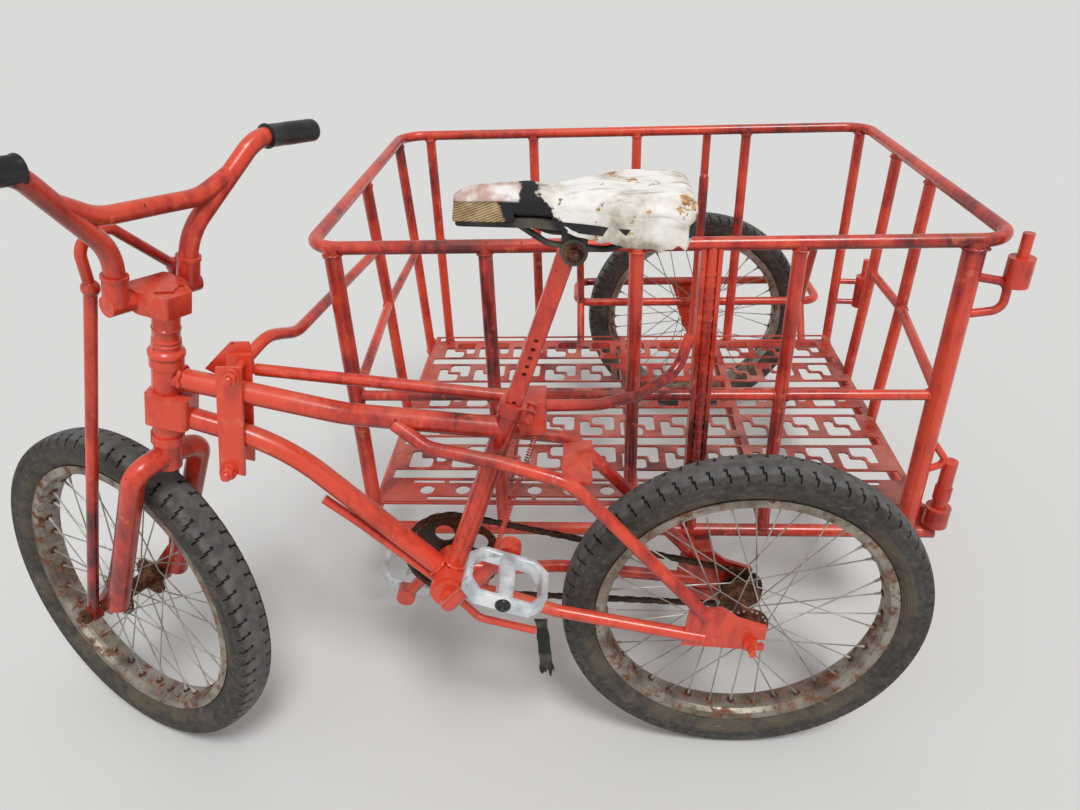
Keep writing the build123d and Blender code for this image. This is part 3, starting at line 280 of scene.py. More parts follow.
def moulded_rubber():
    """Tyre rubber: worn grey crown, grooves kept free of wear and dust and darkened with painted shade, dusty
    shoulders and ribs on the sides.
    """
    f = Finish("dusty tyre rubber")
    band = f.node("ShaderNodeUVMap", {"uv_map": "band"})
    along = f.part(band, 0)
    radius = f.part(band, 1)
    sunk = f.node("ShaderNodeAttribute", {"attribute_name": "sunk"}, None, "Fac")
    side = radius.between(0.2545, 0.2515)
    lower = radius.between(0.240, 0.236)
    wall = radius.between(0.232, 0.226)
    clouds = f.grain(16, 5, rough=0.65)
    fine = f.grain(190, 3)
    base = f.ramp(clouds * 0.6 + fine * 0.4, (0.36, "1F1F20"), (0.5, "2C2C2D"), (0.64, "3F3F40"))
    crown = (1 - side) * (f.grain(60, 4).between(0.3, 0.7) * 0.35 + 0.25)
    base = f.mix(crown, base, "7E7C79")
    grey_dust = side * (f.grain(90, 5, rough=0.7).between(0.42, 0.66) * 0.35 + 0.1)
    base = f.mix(grey_dust, base, "6B6052")
    base = f.mix(wall * clouds.between(0.42, 0.6) * 0.45, base, "6E5F48")
    # The grooves lose the crown's wear and the dust, and go darker than the plain rubber: painted shade in the
    # recesses.
    base = f.mix(sunk * 0.85, base, "121213")
    scuffs = f.grain(1, 3, stretch=(30, 30, 150)).between(0.63, 0.72) * side * 0.35
    base = f.mix(scuffs, base, "8E8676")
    ribs = along.wave(0.0056) * lower * (1 - wall) * 0.35
    rings = radius.wave(0.0032) * wall * 0.3 + radius.wave(0.008) * lower * 0.2
    f.relief(ribs + rings + fine * 0.35 + clouds * 0.3, 0.0009, 0.7)
    return f.done(base, 0.62 + fine * 0.3 - crown * 0.12)


def plated_steel(name, bright, worn, rust_share):
    """Plating gone dull, with dust on it and rust coming through."""
    f = Finish(name)
    clouds = f.grain(22, 4)
    fine = f.grain(260, 3)
    colour = f.ramp(clouds, (0.35, worn), (0.6, bright))
    rust = f.grain(46, 5, rough=0.7).between(0.66 - rust_share * 0.22, 0.80 - rust_share * 0.2)
    brown = f.ramp(fine, (0.35, "3A1E14"), (0.62, "8A4A2A"))
    colour = f.mix(rust, colour, brown)
    dust = f.grain(9, 3).between(0.45, 0.7) * 0.4
    colour = f.mix(dust, colour, "9A8F80")
    f.relief(fine * 0.4 + rust * 0.4, 0.0004, 0.6)
    rough = 0.32 + fine * 0.2 + rust * 0.35 + dust * 0.25
    return f.done(colour, rough, metallic=(1 - rust) * (1 - dust * 0.8) * 0.85)


def bare_rust():
    """Steel rusted all over."""
    f = Finish("bare rusted steel")
    clouds = f.grain(60, 5, rough=0.7)
    fine = f.grain(420, 3)
    colour = f.ramp(clouds * 0.6 + fine * 0.4, (0.36, "2B1A14"), (0.5, "5B3423"), (0.64, "9A6240"))
    f.relief(fine * 0.6 + clouds * 0.5, 0.0006, 0.8)
    return f.done(colour, 0.6 + fine * 0.3, metallic=clouds.between(0.6, 0.4) * 0.5)


def oily_chain():
    """Chain steel under old oil, rusted where it is dry."""
    f = Finish("oily rusty chain steel")
    fine = f.grain(330, 3)
    clouds = f.grain(35, 4)
    colour = f.ramp(clouds * 0.5 + fine * 0.5, (0.38, "1C1410"), (0.52, "3D271B"), (0.63, "7B4A2B"))
    f.relief(fine, 0.0004, 0.6)
    return f.done(colour, 0.3 + fine * 0.4, metallic=clouds.between(0.4, 0.6) * 0.7)


def grip_rubber():
    """Dark rubber, worn smooth and scratched."""
    f = Finish("worn grip rubber")
    fine = f.grain(300, 3)
    wear = f.grain(28, 4).between(0.5, 0.7)
    colour = f.mix(wear * 0.4, "1A1B1E", "4A4B50")
    scratches = f.grain(1, 2, stretch=(30, 400, 400)).between(0.68, 0.72) * 0.5
    colour = f.mix(scratches, colour, "8E8E90")
    f.relief(fine * 0.6 + scratches, 0.0003, 0.5)
    return f.done(colour, 0.28 + wear * 0.25)


def dull_rubber():
    """Sheet rubber under dust."""
    f = Finish("dull sheet rubber")
    fine = f.grain(240, 3)
    dust = f.grain(30, 4).between(0.45, 0.7)
    f.relief(fine, 0.0004, 0.6)
    return f.done(f.mix(dust * 0.6, "1B1B1C", "6A6156"), 0.7 + fine * 0.2)


def worn_alloy():
    """Pale alloy, scraped and grimy."""
    f = Finish("worn pale alloy")
    clouds = f.grain(38, 4)
    fine = f.grain(300, 3)
    colour = f.ramp(clouds, (0.38, "BCC1C5"), (0.5, "D6DCDF"), (0.62, "F0F3F4"))
    scrapes = f.grain(1, 3, stretch=(60, 420, 60)).between(0.62, 0.7)
    colour = f.mix(scrapes * 0.5, colour, "6E6F70")
    grime = f.grain(70, 5, rough=0.7).between(0.6, 0.72)
    colour = f.mix(grime * 0.7, colour, "4B3F36")
    f.relief(fine * 0.3 - scrapes * 0.5, 0.0004, 0.6)
    return f.done(colour, 0.34 + grime * 0.35 + fine * 0.12, metallic=0.35 * (1 - grime))


def seat_shell():
    """Dark moulded plastic under dust."""
    f = Finish("moulded seat shell")
    fine = f.grain(500, 2)
    dust = f.grain(20, 4).between(0.42, 0.66)
    f.relief(fine, 0.0003, 0.5)
    return f.done(f.mix(dust * 0.55, "1C1C1E", "746A5C"), 0.5 + fine * 0.2)


def torn_wrap():
    """Seat cover of cloth and tape over foam, split and dirty."""
    f = Finish("torn wrapped seat cover")
    weave = f.cells(620)
    clouds = f.grain(19, 5, rough=0.6)
    cloth = f.ramp(clouds, (0.34, "A3978A"), (0.45, "E2D9CC"), (0.58, "FBF8F3"))
    creases = f.grain(1, 4, stretch=(14, 70, 40))
    cloth = f.mix(creases.between(0.58, 0.68) * 0.5, cloth, "7E705D")
    foam = f.ramp(f.grain(160, 3), (0.4, "9A6A34"), (0.6, "D9A860"))
    torn = f.grain(24, 5, rough=0.7, shift=5.0).between(0.6, 0.63)
    cloth = f.mix(torn, cloth, foam)
    forward = f.part(f.place, 0)
    low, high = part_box("saddle_cover")
    # Shares of the length behind the nose and of the height, and what is wound round the nose
    share = (high[0] - forward) * (1 / (high[0] - low[0])) + (f.grain(60, 4) - 0.5) * 0.09
    level = (f.height() - low[2]) * (1 / (high[2] - low[2]))
    nose = share.between(0.222, 0.212)
    strip = f.ramp(f.grain(40, 4), (0.4, "C9A79C"), (0.5, "E4D5CE"), (0.62, "F3EFEB"))
    cloth = f.mix(share.between(0.30, 0.285), cloth, strip)
    # The shell, bare below a slanting split, and the thread on the nose's sides
    split = 1.0 - (share - 0.357) * 10.3 + (f.grain(45, 4) - 0.5) * 0.9
    shell = (split - level).between(-0.02, 0.05) * (1 - share.between(0.300, 0.285) * level.between(0.50, 0.58))
    cloth = f.mix(shell, cloth, "1D1D1F")
    turns = (f.height() + forward * 0.35).wave(0.0027) * 0.5 + 0.5
    fray = turns * 0.35 + f.grain(80, 3) * 0.65
    thread = f.ramp(fray, (0.3, "7C6142"), (0.5, "AD8F64"), (0.7, "CDB48A"))
    flank = nose * level.between(0.56, 0.48)
    cloth = f.mix(flank, cloth, thread)
    surface = weave * 0.25 * (1 - torn) + creases * 0.8 - torn * 0.6 + turns * flank * 0.5 - shell * 0.8
    f.relief(surface, 0.0016, 0.8)
    return f.done(cloth, 0.72 + weave * 0.1 - nose * 0.25)


finishes = {
    "red_paint": brushed_enamel("hand brushed red enamel", "5A1210", "B92B1C", "E2472A", "E2806A", 0.35, 1.0),
    "faded_paint": brushed_enamel("faded dusty red enamel", "4E1311", "9C2D21", "C84431", "C88474", 0.6, 1.0),
    "tyre_rubber": moulded_rubber(),
    "rim_steel": plated_steel("dull rim plating", "ABA498", "70675C", 0.85),
    "spoke_steel": plated_steel("dull spoke wire", "C4C2BC", "928E86", 0.25),
    "rusty_steel": bare_rust(),
    "chain_steel": oily_chain(),
    "grip_rubber": grip_rubber(),
    "flap_rubber": dull_rubber(),
    "pedal_alloy": worn_alloy(),
    "seat_plastic": seat_shell(),
    "seat_wrap": torn_wrap(),
}
for node in nodes.values():  # the frame's nodes get the finishes that their slots name
    for held in node.material_slots:
        held.material = finishes[held.material.name.split(".")[0]]


# Pieces

def kept(bm, name="pattern"):
    """The shape as a mesh of that name, to be shown or to be stamped many times."""
    data = bpy.data.meshes.new(name)
    bm.to_mesh(data)
    bm.free()
    return data


def shown(name, data):
    """An object with that data, put into the scene."""
    made = bpy.data.objects.new(name, data)
    bpy.context.scene.collection.objects.link(made)
    return made


def piece(name, bm, slot, body, *stands_for):
    """Puts a finished shape on its body and gives it its finish. It may stand for nodes of the frame."""
    made = shown(name, kept(bm, name))
    made.data.materials.append(finishes[slot])
    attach(made, body)
    if stands_for:
        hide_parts(*stands_for)


def stamp(bm, pattern, place):
    """Adds the pattern at a place."""
    copy = pattern.copy()
    copy.transform(place)
    bm.from_mesh(copy)
    bpy.data.meshes.remove(copy)


def facing(centre, x, y, z):
    """Place at a centre, with its own X, Y and Z along three directions."""
    return Matrix.Translation(centre) @ Matrix((x, y, z)).transposed().to_4x4()


def stand(centre, axis):
    """Place whose Z runs along the axis."""
    z = axis.normalized()
    x = (UP if abs(z.z) < 0.9 else ALONG).cross(z).normalized()
    return facing(centre, x, z.cross(x), z)


def turned(outline, steps, closed=False):
    """A shape spun about Z from (radius, height) pairs in millimetres."""
    bm = bmesh.new()
    verts = [bm.verts.new((r * MM, 0, z * MM)) for r, z in outline]
    edges = [bm.edges.new(pair) for pair in zip(verts, verts[1:])]
    if closed:
        edges.append(bm.edges.new((verts[-1], verts[0])))
    bmesh.ops.spin(
        bm, geom=verts + edges, cent=(0, 0, 0), axis=(0, 0, 1), angle=2 * math.pi, steps=steps, use_merge=True,
    )
    bmesh.ops.remove_doubles(bm, verts=bm.verts, dist=1e-6)
    bmesh.ops.recalc_face_normals(bm, faces=bm.faces)
    return bm


def smooth(bm, sharp=35):
    """Smooth shading, except over edges that bend by more than so many degrees."""
    for face in bm.faces:
        face.smooth = True
    for edge in bm.edges:
        if len(edge.link_faces) == 2 and edge.calc_face_angle(0) > math.radians(sharp):
            edge.smooth = False
    return bm


def cone(bm, segments, first, second, length, place):
    """Adds a closed cone along Z, with its two radii and its length in millimetres, and gives its corners."""
    return bmesh.ops.create_cone(
        bm, cap_ends=True, segments=segments, radius1=first * MM, radius2=second * MM, depth=length * MM,
        matrix=place,
    )["verts"]


def round_off(bm, edges, width, clamp=False):
    """Rounds edges off with two facets."""
    bmesh.ops.bevel(
        bm, geom=edges, offset=width, offset_type="OFFSET", segments=2, profile=0.5, affect="EDGES", material=-1,
        clamp_overlap=clamp,
    )


# Wheels, in millimetres

TYRE_RADIUS = 258.0
TYRE_INSET = 0.6  # keeps the tyre inside its solid's box
TREAD_EDGE = 243
RIM_BED, RIM_OUT = 193.0, 3
FLANGE, FLANGE_OUT = 27, 28
SPOKES = 36
PITCHES = 72  # of the tread, round the tyre
COLUMNS = 8  # of faces in a pitch
tyre_section = (  # across, radius
    (16.0, 206), (16.0, 211), (19.5, 214), (24.5, 220), (27.6, 228), (28.3, 233), (28.4, 236), (27.7, 237),
    (27.7, 241.5), (28.3, 242.5), (27.6, 247), (26.0, 250.6), (23.0, 253.4), (19.0, 255.2), (14.5, 256.5),
    (9.5, 257.4), (4.8, 257.85), (0.0, TYRE_RADIUS),
)


def build_tyre():
    """Tyre about Z, with a siped crown, shoulder blocks, and the layers band and sunk for its finish."""
    half = [(radius - TYRE_INSET, across) for across, radius in tyre_section]
    outline = half + [(radius, -across) for radius, across in reversed(half[:-1])]
    bm = turned(outline, PITCHES * COLUMNS, closed=True)
    cuts = {  # part of the section by its distance across, columns that are cut
        (9.5, 14.5): (4, 5), (14.5, 19.0): (4,), (19.0, 23.0): (4, 3), (23.0, 26.0): (3,), (26.0, 27.6): (3,),
    }
    sunk = bm.verts.layers.float.new("sunk")
    groove = []
    for face in bm.faces:
        middle = face.calc_center_median()
        across = abs(middle.z) / MM
        radius = math.hypot(middle.x, middle.y) / MM
        if radius < TREAD_EDGE:
            continue
        turn = (math.atan2(middle.y, middle.x) / (2 * math.pi)) % 1.0 * PITCHES
        turn = (turn + (0.5 if middle.z > 0 else 0.0)) % 1.0  # the two sides are half a pitch apart
        column = int(turn * COLUMNS)
        for (inner, outer), columns in cuts.items():
            if inner < across < outer and column in columns:
                groove.append(face)
    bmesh.ops.inset_region(bm, faces=groove, thickness=0.0003, depth=-0.0032, use_even_offset=False)
    for face in groove:
        for vert in face.verts:
            vert[sunk] = 1.0
    band = bm.loops.layers.uv.new("band")
    for face in bm.faces:
        turns = [math.atan2(loop.vert.co.y, loop.vert.co.x) for loop in face.loops]
        seam = max(turns) - min(turns) > math.pi
        for loop, turn in zip(face.loops, turns):
            if seam and turn < 0:
                turn += 2 * math.pi
            loop[band].uv = (turn * TYRE_RADIUS * MM, math.hypot(loop.vert.co.x, loop.vert.co.y))
    return smooth(bm, 40)


def on_wheel(radius, out, turn):
    """A place on a wheel about Y, at that turn from the top."""
    return Vector((radius * math.sin(turn), out, radius * math.cos(turn))) * MM


def build_spokes():
    """Crossed spokes about Y, each with its nipple and its head."""
    bm = bmesh.new()
    for i in range(SPOKES):
        side = 1 if i % 2 else -1
        lead = 1 if (i // 2) % 2 else -1
        turn = 2 * math.pi * i / SPOKES
        tip = on_wheel(RIM_BED - 0.5, side * RIM_OUT, turn)
        root = on_wheel(FLANGE, side * FLANGE_OUT, turn + lead * math.radians(62))
        run = tip - root
        cone(bm, 6, 1.05, 1.05, run.length / MM, stand((tip + root) / 2, run))
        cone(bm, 6, 1.7, 2.4, 11, stand(tip - run.normalized() * 5.5 * MM, run))
        cone(bm, 8, 2.3, 1.2, 1.6, stand(root + ACROSS * side * 2.2 * MM, ACROSS * side))
    return smooth(bm)


def build_eyelets():
    """Rusted cups with uneven edges, in the rim round the foot of each nipple."""
    bm = bmesh.new()
    for i in range(SPOKES):
        turn = 2 * math.pi * i / SPOKES
        out = Vector((math.sin(turn), 0, math.cos(turn)))
        foot = out * ((RIM_BED - 1.2) * MM) + ACROSS * ((RIM_OUT if i % 2 else -RIM_OUT) * MM)
        for vert in cone(bm, 12, 5.8, 3.0, 1.8, stand(foot, -out)):
            away = vert.co - foot
            vert.co = foot + away * (1 + 0.5 * noise.noise(vert.co * 300 + Vector((i, 0, 0))))
    return smooth(bm, 60)


def build_hub():
    """Steel hub about Z, with flanges, a waist and its dust caps."""
    half = (  # distance from the middle, radius
        (0.0, 12.5), (10.0, 12.5), (20.0, 13.4), (25.5, 15.5), (26.4, 17.0), (26.4, 29.8), (27.2, 31.0),
        (28.8, 31.0), (29.6, 29.8), (29.6, 19.0), (31.0, 17.5), (35.0, 17.2), (36.5, 15.5), (37.5, 11.2),
        (40.8, 10.6), (40.8, 5.3),
    )
    outline = [(r, z) for z, r in half] + [(r, -z) for z, r in reversed(half[1:])]
    return smooth(turned(outline, 40, closed=True), 30)


tyre_mesh = kept(build_tyre())
spoke_mesh = kept(build_spokes())
hub_mesh = kept(build_hub())
eyelet_mesh = kept(build_eyelets())
for place, centre, axle in (
    ("rear", REAR_AXLE, ACROSS), ("side", SIDE_AXLE, ACROSS), ("front", FRONT_AXLE, LEFT),
):
    body = place + "_wheel"
    upright = (UP - axle * axle.z).normalized()
    about_y = facing(centre, axle.cross(upright), axle, upright)
    about_z = about_y @ Matrix.Rotation(math.radians(-90), 4, "X")
    for name, pattern, where, slot, stands_for in (
        ("tyre", tyre_mesh, about_z, "tyre_rubber", (place + "_wheel_tyre",)),
        ("spokes", spoke_mesh, about_y, "spoke_steel", (place + "_wheel_spoked_hub",)),
        ("hub", hub_mesh, about_z, "rusty_steel", ()),
        ("eyelets", eyelet_mesh, about_y, "rusty_steel", ()),
    ):
        bm = bmesh.new()
        stamp(bm, pattern, where)
        piece(place + "_" + name, bm, slot, body, *stands_for)


# Chain, in millimetres in its own plane

PITCH = 12.7  # from pin to pin
CHAIN_Y = -44.0
RING_TEETH, COG_TEETH = 36, 16
ring_centre = Vector((CRANK_X, CRANK_Z))
cog_centre = Vector((0, TYRE_RADIUS))
ring_radius = PITCH / (2 * math.sin(math.pi / RING_TEETH))
cog_radius = PITCH / (2 * math.sin(math.pi / COG_TEETH))
span = ring_centre - cog_centre
slope = math.atan2(span.y, span.x)
flare = math.asin((ring_radius - cog_radius) / span.length)
straight = math.sqrt(span.length ** 2 - (ring_radius - cog_radius) ** 2)
round_ring = (math.pi + 2 * flare) * ring_radius
round_cog = (math.pi - 2 * flare) * cog_radius
chain_length = 2 * straight + round_ring + round_cog
link_count = 2 * round(chain_length / PITCH / 2)


def heading(turn):
    """Direction at that turn from straight ahead."""
    return Vector((math.cos(turn), math.sin(turn)))


def along_chain(share):
    """Place on the chain's line, from the top of the chainring back over the sprocket."""
    left = share * chain_length
    upper = slope + flare + math.pi / 2
    lower = slope - flare - math.pi / 2
    if left < straight:
        return ring_centre + heading(upper) * ring_radius + heading(upper + math.pi / 2) * left
    left -= straight
    if left < round_cog:
        return cog_centre + heading(upper + left / cog_radius) * cog_radius
    left -= round_cog
    if left < straight:
        return cog_centre + heading(lower) * cog_radius + heading(lower + math.pi / 2) * left
    left -= straight
    return ring_centre + heading(lower + left / ring_radius) * ring_radius


def link_plate(half, thickness):
    """Rounded plate along X, in the plane across Y."""
    bm = bmesh.new()
    bmesh.ops.create_cube(bm, size=1.0)
    bmesh.ops.scale(bm, vec=((PITCH + 2 * half) * MM, thickness * MM, 2 * half * MM), verts=bm.verts)
    corners = [e for e in bm.edges if abs((e.verts[0].co - e.verts[1].co).normalized().y) > 0.9]
    round_off(bm, corners, half * 0.85 * MM)
    return kept(bm)


def build_chain():
    """Outer and inner plates by turns, with a roller and a rivet at every pin."""
    bm = bmesh.new()
    plates = ((link_plate(3.5, 0.9), 2.9), (link_plate(3.4, 0.9), 1.9))  # each with its distance out
    pins = [along_chain(i / link_count) for i in range(link_count)]
    for i, pin in enumerate(pins):
        following = pins[(i + 1) % link_count]
        middle = (pin + following) / 2
        tilt = math.atan2(following.y - pin.y, following.x - pin.x)
        plate, out = plates[i % 2]
        for side in (-1, 1):
            centre = at(middle.x, CHAIN_Y + side * out, middle.y)
            stamp(bm, plate, Matrix.Translation(centre) @ Matrix.Rotation(-tilt, 4, "Y"))
        for radius, length in ((3.7, 3.0), (1.7, 6.8)):
            cone(bm, 8, radius, radius, length, stand(at(pin.x, CHAIN_Y, pin.y), ACROSS))
    return bm


piece("chain_links", build_chain(), "chain_steel", "frame_and_cage", "chain")


# Saddle, in metres

COVER_LOW, COVER_HIGH = (Vector(corner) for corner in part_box("saddle_cover"))
COVER_MIDDLE = (COVER_LOW + COVER_HIGH) / 2
COVER_LENGTH = COVER_HIGH.x - COVER_LOW.x
MOST_SWELLING = 0.006


def settled(made):
    """The mesh that the object's modifiers give, as it stands."""
    return bpy.data.meshes.new_from_object(made.evaluated_get(bpy.context.evaluated_depsgraph_get()))


def even_pad():
    """The cover's solid, drawn in to leave room for its hem and remeshed in even steps."""
    bm = bmesh.new()
    bm.from_mesh(nodes["saddle_cover"].data)
    bmesh.ops.remove_doubles(bm, verts=bm.verts, dist=1e-5)
    smaller = Matrix.Diagonal((0.985, 0.985, 0.84, 1))
    inwards = Matrix.Translation(COVER_MIDDLE) @ smaller @ Matrix.Translation(-COVER_MIDDLE)
    bmesh.ops.transform(bm, matrix=inwards, verts=bm.verts)
    pad = shown("saddle_pad", kept(bm, "saddle_pad"))
    remesh = pad.modifiers.new("even", "REMESH")
    remesh.mode = "VOXEL"
    remesh.voxel_size = 0.005
    even = settled(pad)
    pad.modifiers.clear()
    pad.data = even
    return pad


def press_out(pad):
    """Presses the pad out as cloth, no further than it may swell."""
    cloth = pad.modifiers.new("pressed", "CLOTH")
    cloth.settings.use_pressure = True
    cloth.settings.uniform_pressure_force = 4.0
    cloth.settings.effector_weights.gravity = 0.0
    for step in range(1, 21):
        bpy.context.scene.frame_set(step)
    swollen = settled(pad)
    pad.modifiers.clear()
    for vert, puffed in zip(pad.data.vertices, swollen.vertices):
        move = puffed.co - vert.co
        if move.length > MOST_SWELLING:
            move = move.normalized() * MOST_SWELLING
        vert.co = vert.co + move
    bpy.context.scene.frame_set(1)


def shape_pad(bm):
    """Lowers the nose, the waist and the sides, and adds wrinkles and the bands wound round the nose."""
    low, high = COVER_LOW, COVER_HIGH
    for vert in bm.verts:
        back = (high.x - vert.co.x) / COVER_LENGTH
        raised = (vert.co.z - low.z) / (high.z - low.z)
        nose = max(0.0, 1 - back / 0.34)
        waist = math.exp(-((back - 0.46) / 0.16) ** 2)
        side = abs(vert.co.y - COVER_MIDDLE.y) / 0.072
        vert.co.z -= raised * (0.007 * nose + 0.006 * waist + 0.007 * side * side * min(1.0, back * 1.5))
        wrinkle = noise.noise(vert.co * 38) * 0.0022 + noise.noise(vert.co * 95) * 0.0011
        bands = math.sin(vert.co.x * 620 + vert.co.y * 160 + 2 * noise.noise(vert.co * 30)) * 0.0007
        vert.co += vert.normal * (wrinkle + (bands if back < 0.24 else 0.0)) * (0.4 if raised < 0.1 else 1.0)
        vert.co.z = min(max(vert.co.z, low.z), high.z)


def add_hem(bm):
    """Hangs the cover's ragged edge from the pad, over the shell behind and close under the nose."""
    low, high, length = COVER_LOW, COVER_HIGH, COVER_LENGTH
    shape = BVHTree.FromBMesh(bm)
    fringe = (  # share of the length behind the nose, and the drop below the cover in millimetres
        (0.42, 6), (0.48, 11), (0.54, 14), (0.60, 18), (0.66, 15),
        (0.72, 21), (0.78, 17), (0.84, 22), (0.90, 16), (0.94, 20),
    )
    drops = [(share, 1, drop) for share, drop in fringe]
    drops += [(0.97, 0.7, 15), (0.985, 0.3, 20), (0.985, -0.3, 14), (0.97, -0.7, 17)]
    drops += [(share, -1, drop * 0.8) for share, drop in reversed(fringe)]
    wound = [(share, side, 4) for share, side in ((0.27, 1), (0.2, 1), (0.12, 1), (0.06, 0.9), (0.02, 0.5))]
    wound += [(share, -side, drop) for share, side, drop in reversed(wound)]
    strips = []
    for run in (drops, wound):
        tops, lows = [], []
        for share, side, drop in run:
            heart = Vector((high.x - min(max(share, 0.09), 0.86) * length, COVER_MIDDLE.y, low.z + 0.014))
            if abs(side) == 1:  # straight out at a side
                heart.x = high.x - share * length
                rim = Vector((heart.x, COVER_MIDDLE.y + side * 0.2, heart.z))
            else:  # slantwise, round the nose or the back
                rim = heart + Vector((0.3 if share < 0.5 else -0.3, side * 0.25, 0))
            way = (rim - heart).normalized()
            spot = shape.ray_cast(rim, -way)[0] or heart
            tops.append(bm.verts.new(spot - way * 0.0006))
            lows.append(bm.verts.new(Vector((spot.x, spot.y, low.z - drop * MM)) + way * 0.0024))
        for i in range(len(run) - 1):
            strips.append(bm.faces.new((tops[i], lows[i], lows[i + 1], tops[i + 1])))
    cut = bmesh.ops.subdivide_edges(
        bm, edges=list({edge for face in strips for edge in face.edges}), cuts=3, use_grid_fill=True, smooth=0.3,
    )
    hem = {vert for face in strips for vert in face.verts} | {
        made for made in cut["geom"] if isinstance(made, bmesh.types.BMVert)
    }
    hem_faces = list({face for vert in hem for face in vert.link_faces})
    for vert in hem:
        hang = max(0.0, low.z - vert.co.z) / 0.015
        vert.co.z += noise.noise(vert.co * 130) * 0.004 * hang
        vert.co.y += noise.noise(vert.co * 70 + Vector((3, 1, 0))) * 0.0015 * hang
    bmesh.ops.solidify(bm, geom=hem_faces, thickness=0.0008)


def build_saddle():
    """Padded cover, pressed out as cloth and torn at its hem."""
    pad = even_pad()
    press_out(pad)
    bm = bmesh.new()
    bm.from_mesh(pad.data)
    shape_pad(bm)
    add_hem(bm)
    bmesh.ops.recalc_face_normals(bm, faces=bm.faces)
    bm.to_mesh(pad.data)
    bm.free()
    for face in pad.data.polygons:
        face.use_smooth = True
    finer = pad.modifiers.new("finer", "SUBSURF")
    finer.levels = 1
    finer.render_levels = 1
    pad.data.materials.clear()
    pad.data.materials.append(finishes["seat_wrap"])
    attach(pad, "frame_and_cage")
    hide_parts("saddle_cover")


build_saddle()


# The bent link bar and the coil spring

def pipe(name, points, radius, slot, body, *stands_for):
    """Round bar along a smooth line that rounds off the corners between the points."""
    curve = bpy.data.curves.new(name, "CURVE")
    curve.dimensions = "3D"
    line = curve.splines.new("NURBS")
    line.points.add(len(points) - 1)
    for spot, point in zip(line.points, points):
        spot.co = (*point, 1)
    line.order_u = 3
    line.use_endpoint_u = True
    line.resolution_u = 8
    curve.bevel_depth = radius * MM
    curve.bevel_resolution = 5
    curve.use_fill_caps = True
    held = shown(name, curve)
    bpy.context.view_layer.update()
    data = settled(held)
    bpy.data.objects.remove(held, do_unlink=True)
    bm = bmesh.new()
    bm.from_mesh(data)
    bmesh.ops.remove_doubles(bm, verts=bm.verts, dist=1e-6)
    bmesh.ops.recalc_face_normals(bm, faces=bm.faces)
    piece(name, smooth(bm, 50), slot, body, *stands_for)


pipe(
    "bent_link_bar",
    [at(649, -27, 648), at(640, -46, 656), at(632, -70, 661), at(627, -104, 648), at(622, -140, 632),
     at(619, -180, 630), at(611, -360, 618), at(602.5, -540, 606)],
    8.0, "red_paint", "frame_and_cage", "bent_link",
)


def build_spring():
    """Close coils round the line from the seat bracket down to the brake lever."""
    line = [CLUSTER + Vector(spot) * MM for spot in ((-44, -26, -2), (-22, -6, -66))]
    line += [BRACKET + Vector(spot) * MM for spot in ((-64, 7, 58), (-50, 24, 2))]
    turns = 78
    bm = bmesh.new()
    start = Matrix.Translation((0.0032, 0, 0)) @ Matrix.Rotation(math.pi / 2, 4, "X")
    wire = bmesh.ops.create_circle(bm, segments=5, radius=0.0009, matrix=start)
    bmesh.ops.spin(
        bm, geom=wire["verts"] + bm.edges[:], cent=(0, 0, 0), axis=(0, 0, 1), dvec=(0, 0, 0.0004),
        angle=2 * math.pi * turns, steps=turns * 9,
    )
    tall = max(vert.co.z for vert in bm.verts)
    for vert in bm.verts:
        share = min(1.0, max(0.0, vert.co.z / tall))
        keep = 1 - share
        spot = (
            line[0] * keep ** 3 + line[1] * 3 * keep * keep * share + line[2] * 3 * keep * share * share
            + line[3] * share ** 3
        )
        run = (
            (line[1] - line[0]) * keep * keep + (line[2] - line[1]) * 2 * keep * share
            + (line[3] - line[2]) * share * share
        ).normalized()
        side = run.cross(ACROSS).normalized()
        vert.co = spot + side * vert.co.x + run.cross(side) * vert.co.y
    bmesh.ops.recalc_face_normals(bm, faces=bm.faces)
    return smooth(bm, 80)


piece("brake_spring_coils", build_spring(), "red_paint", "frame_and_cage", "brake_spring")


# Pedals and brake flap

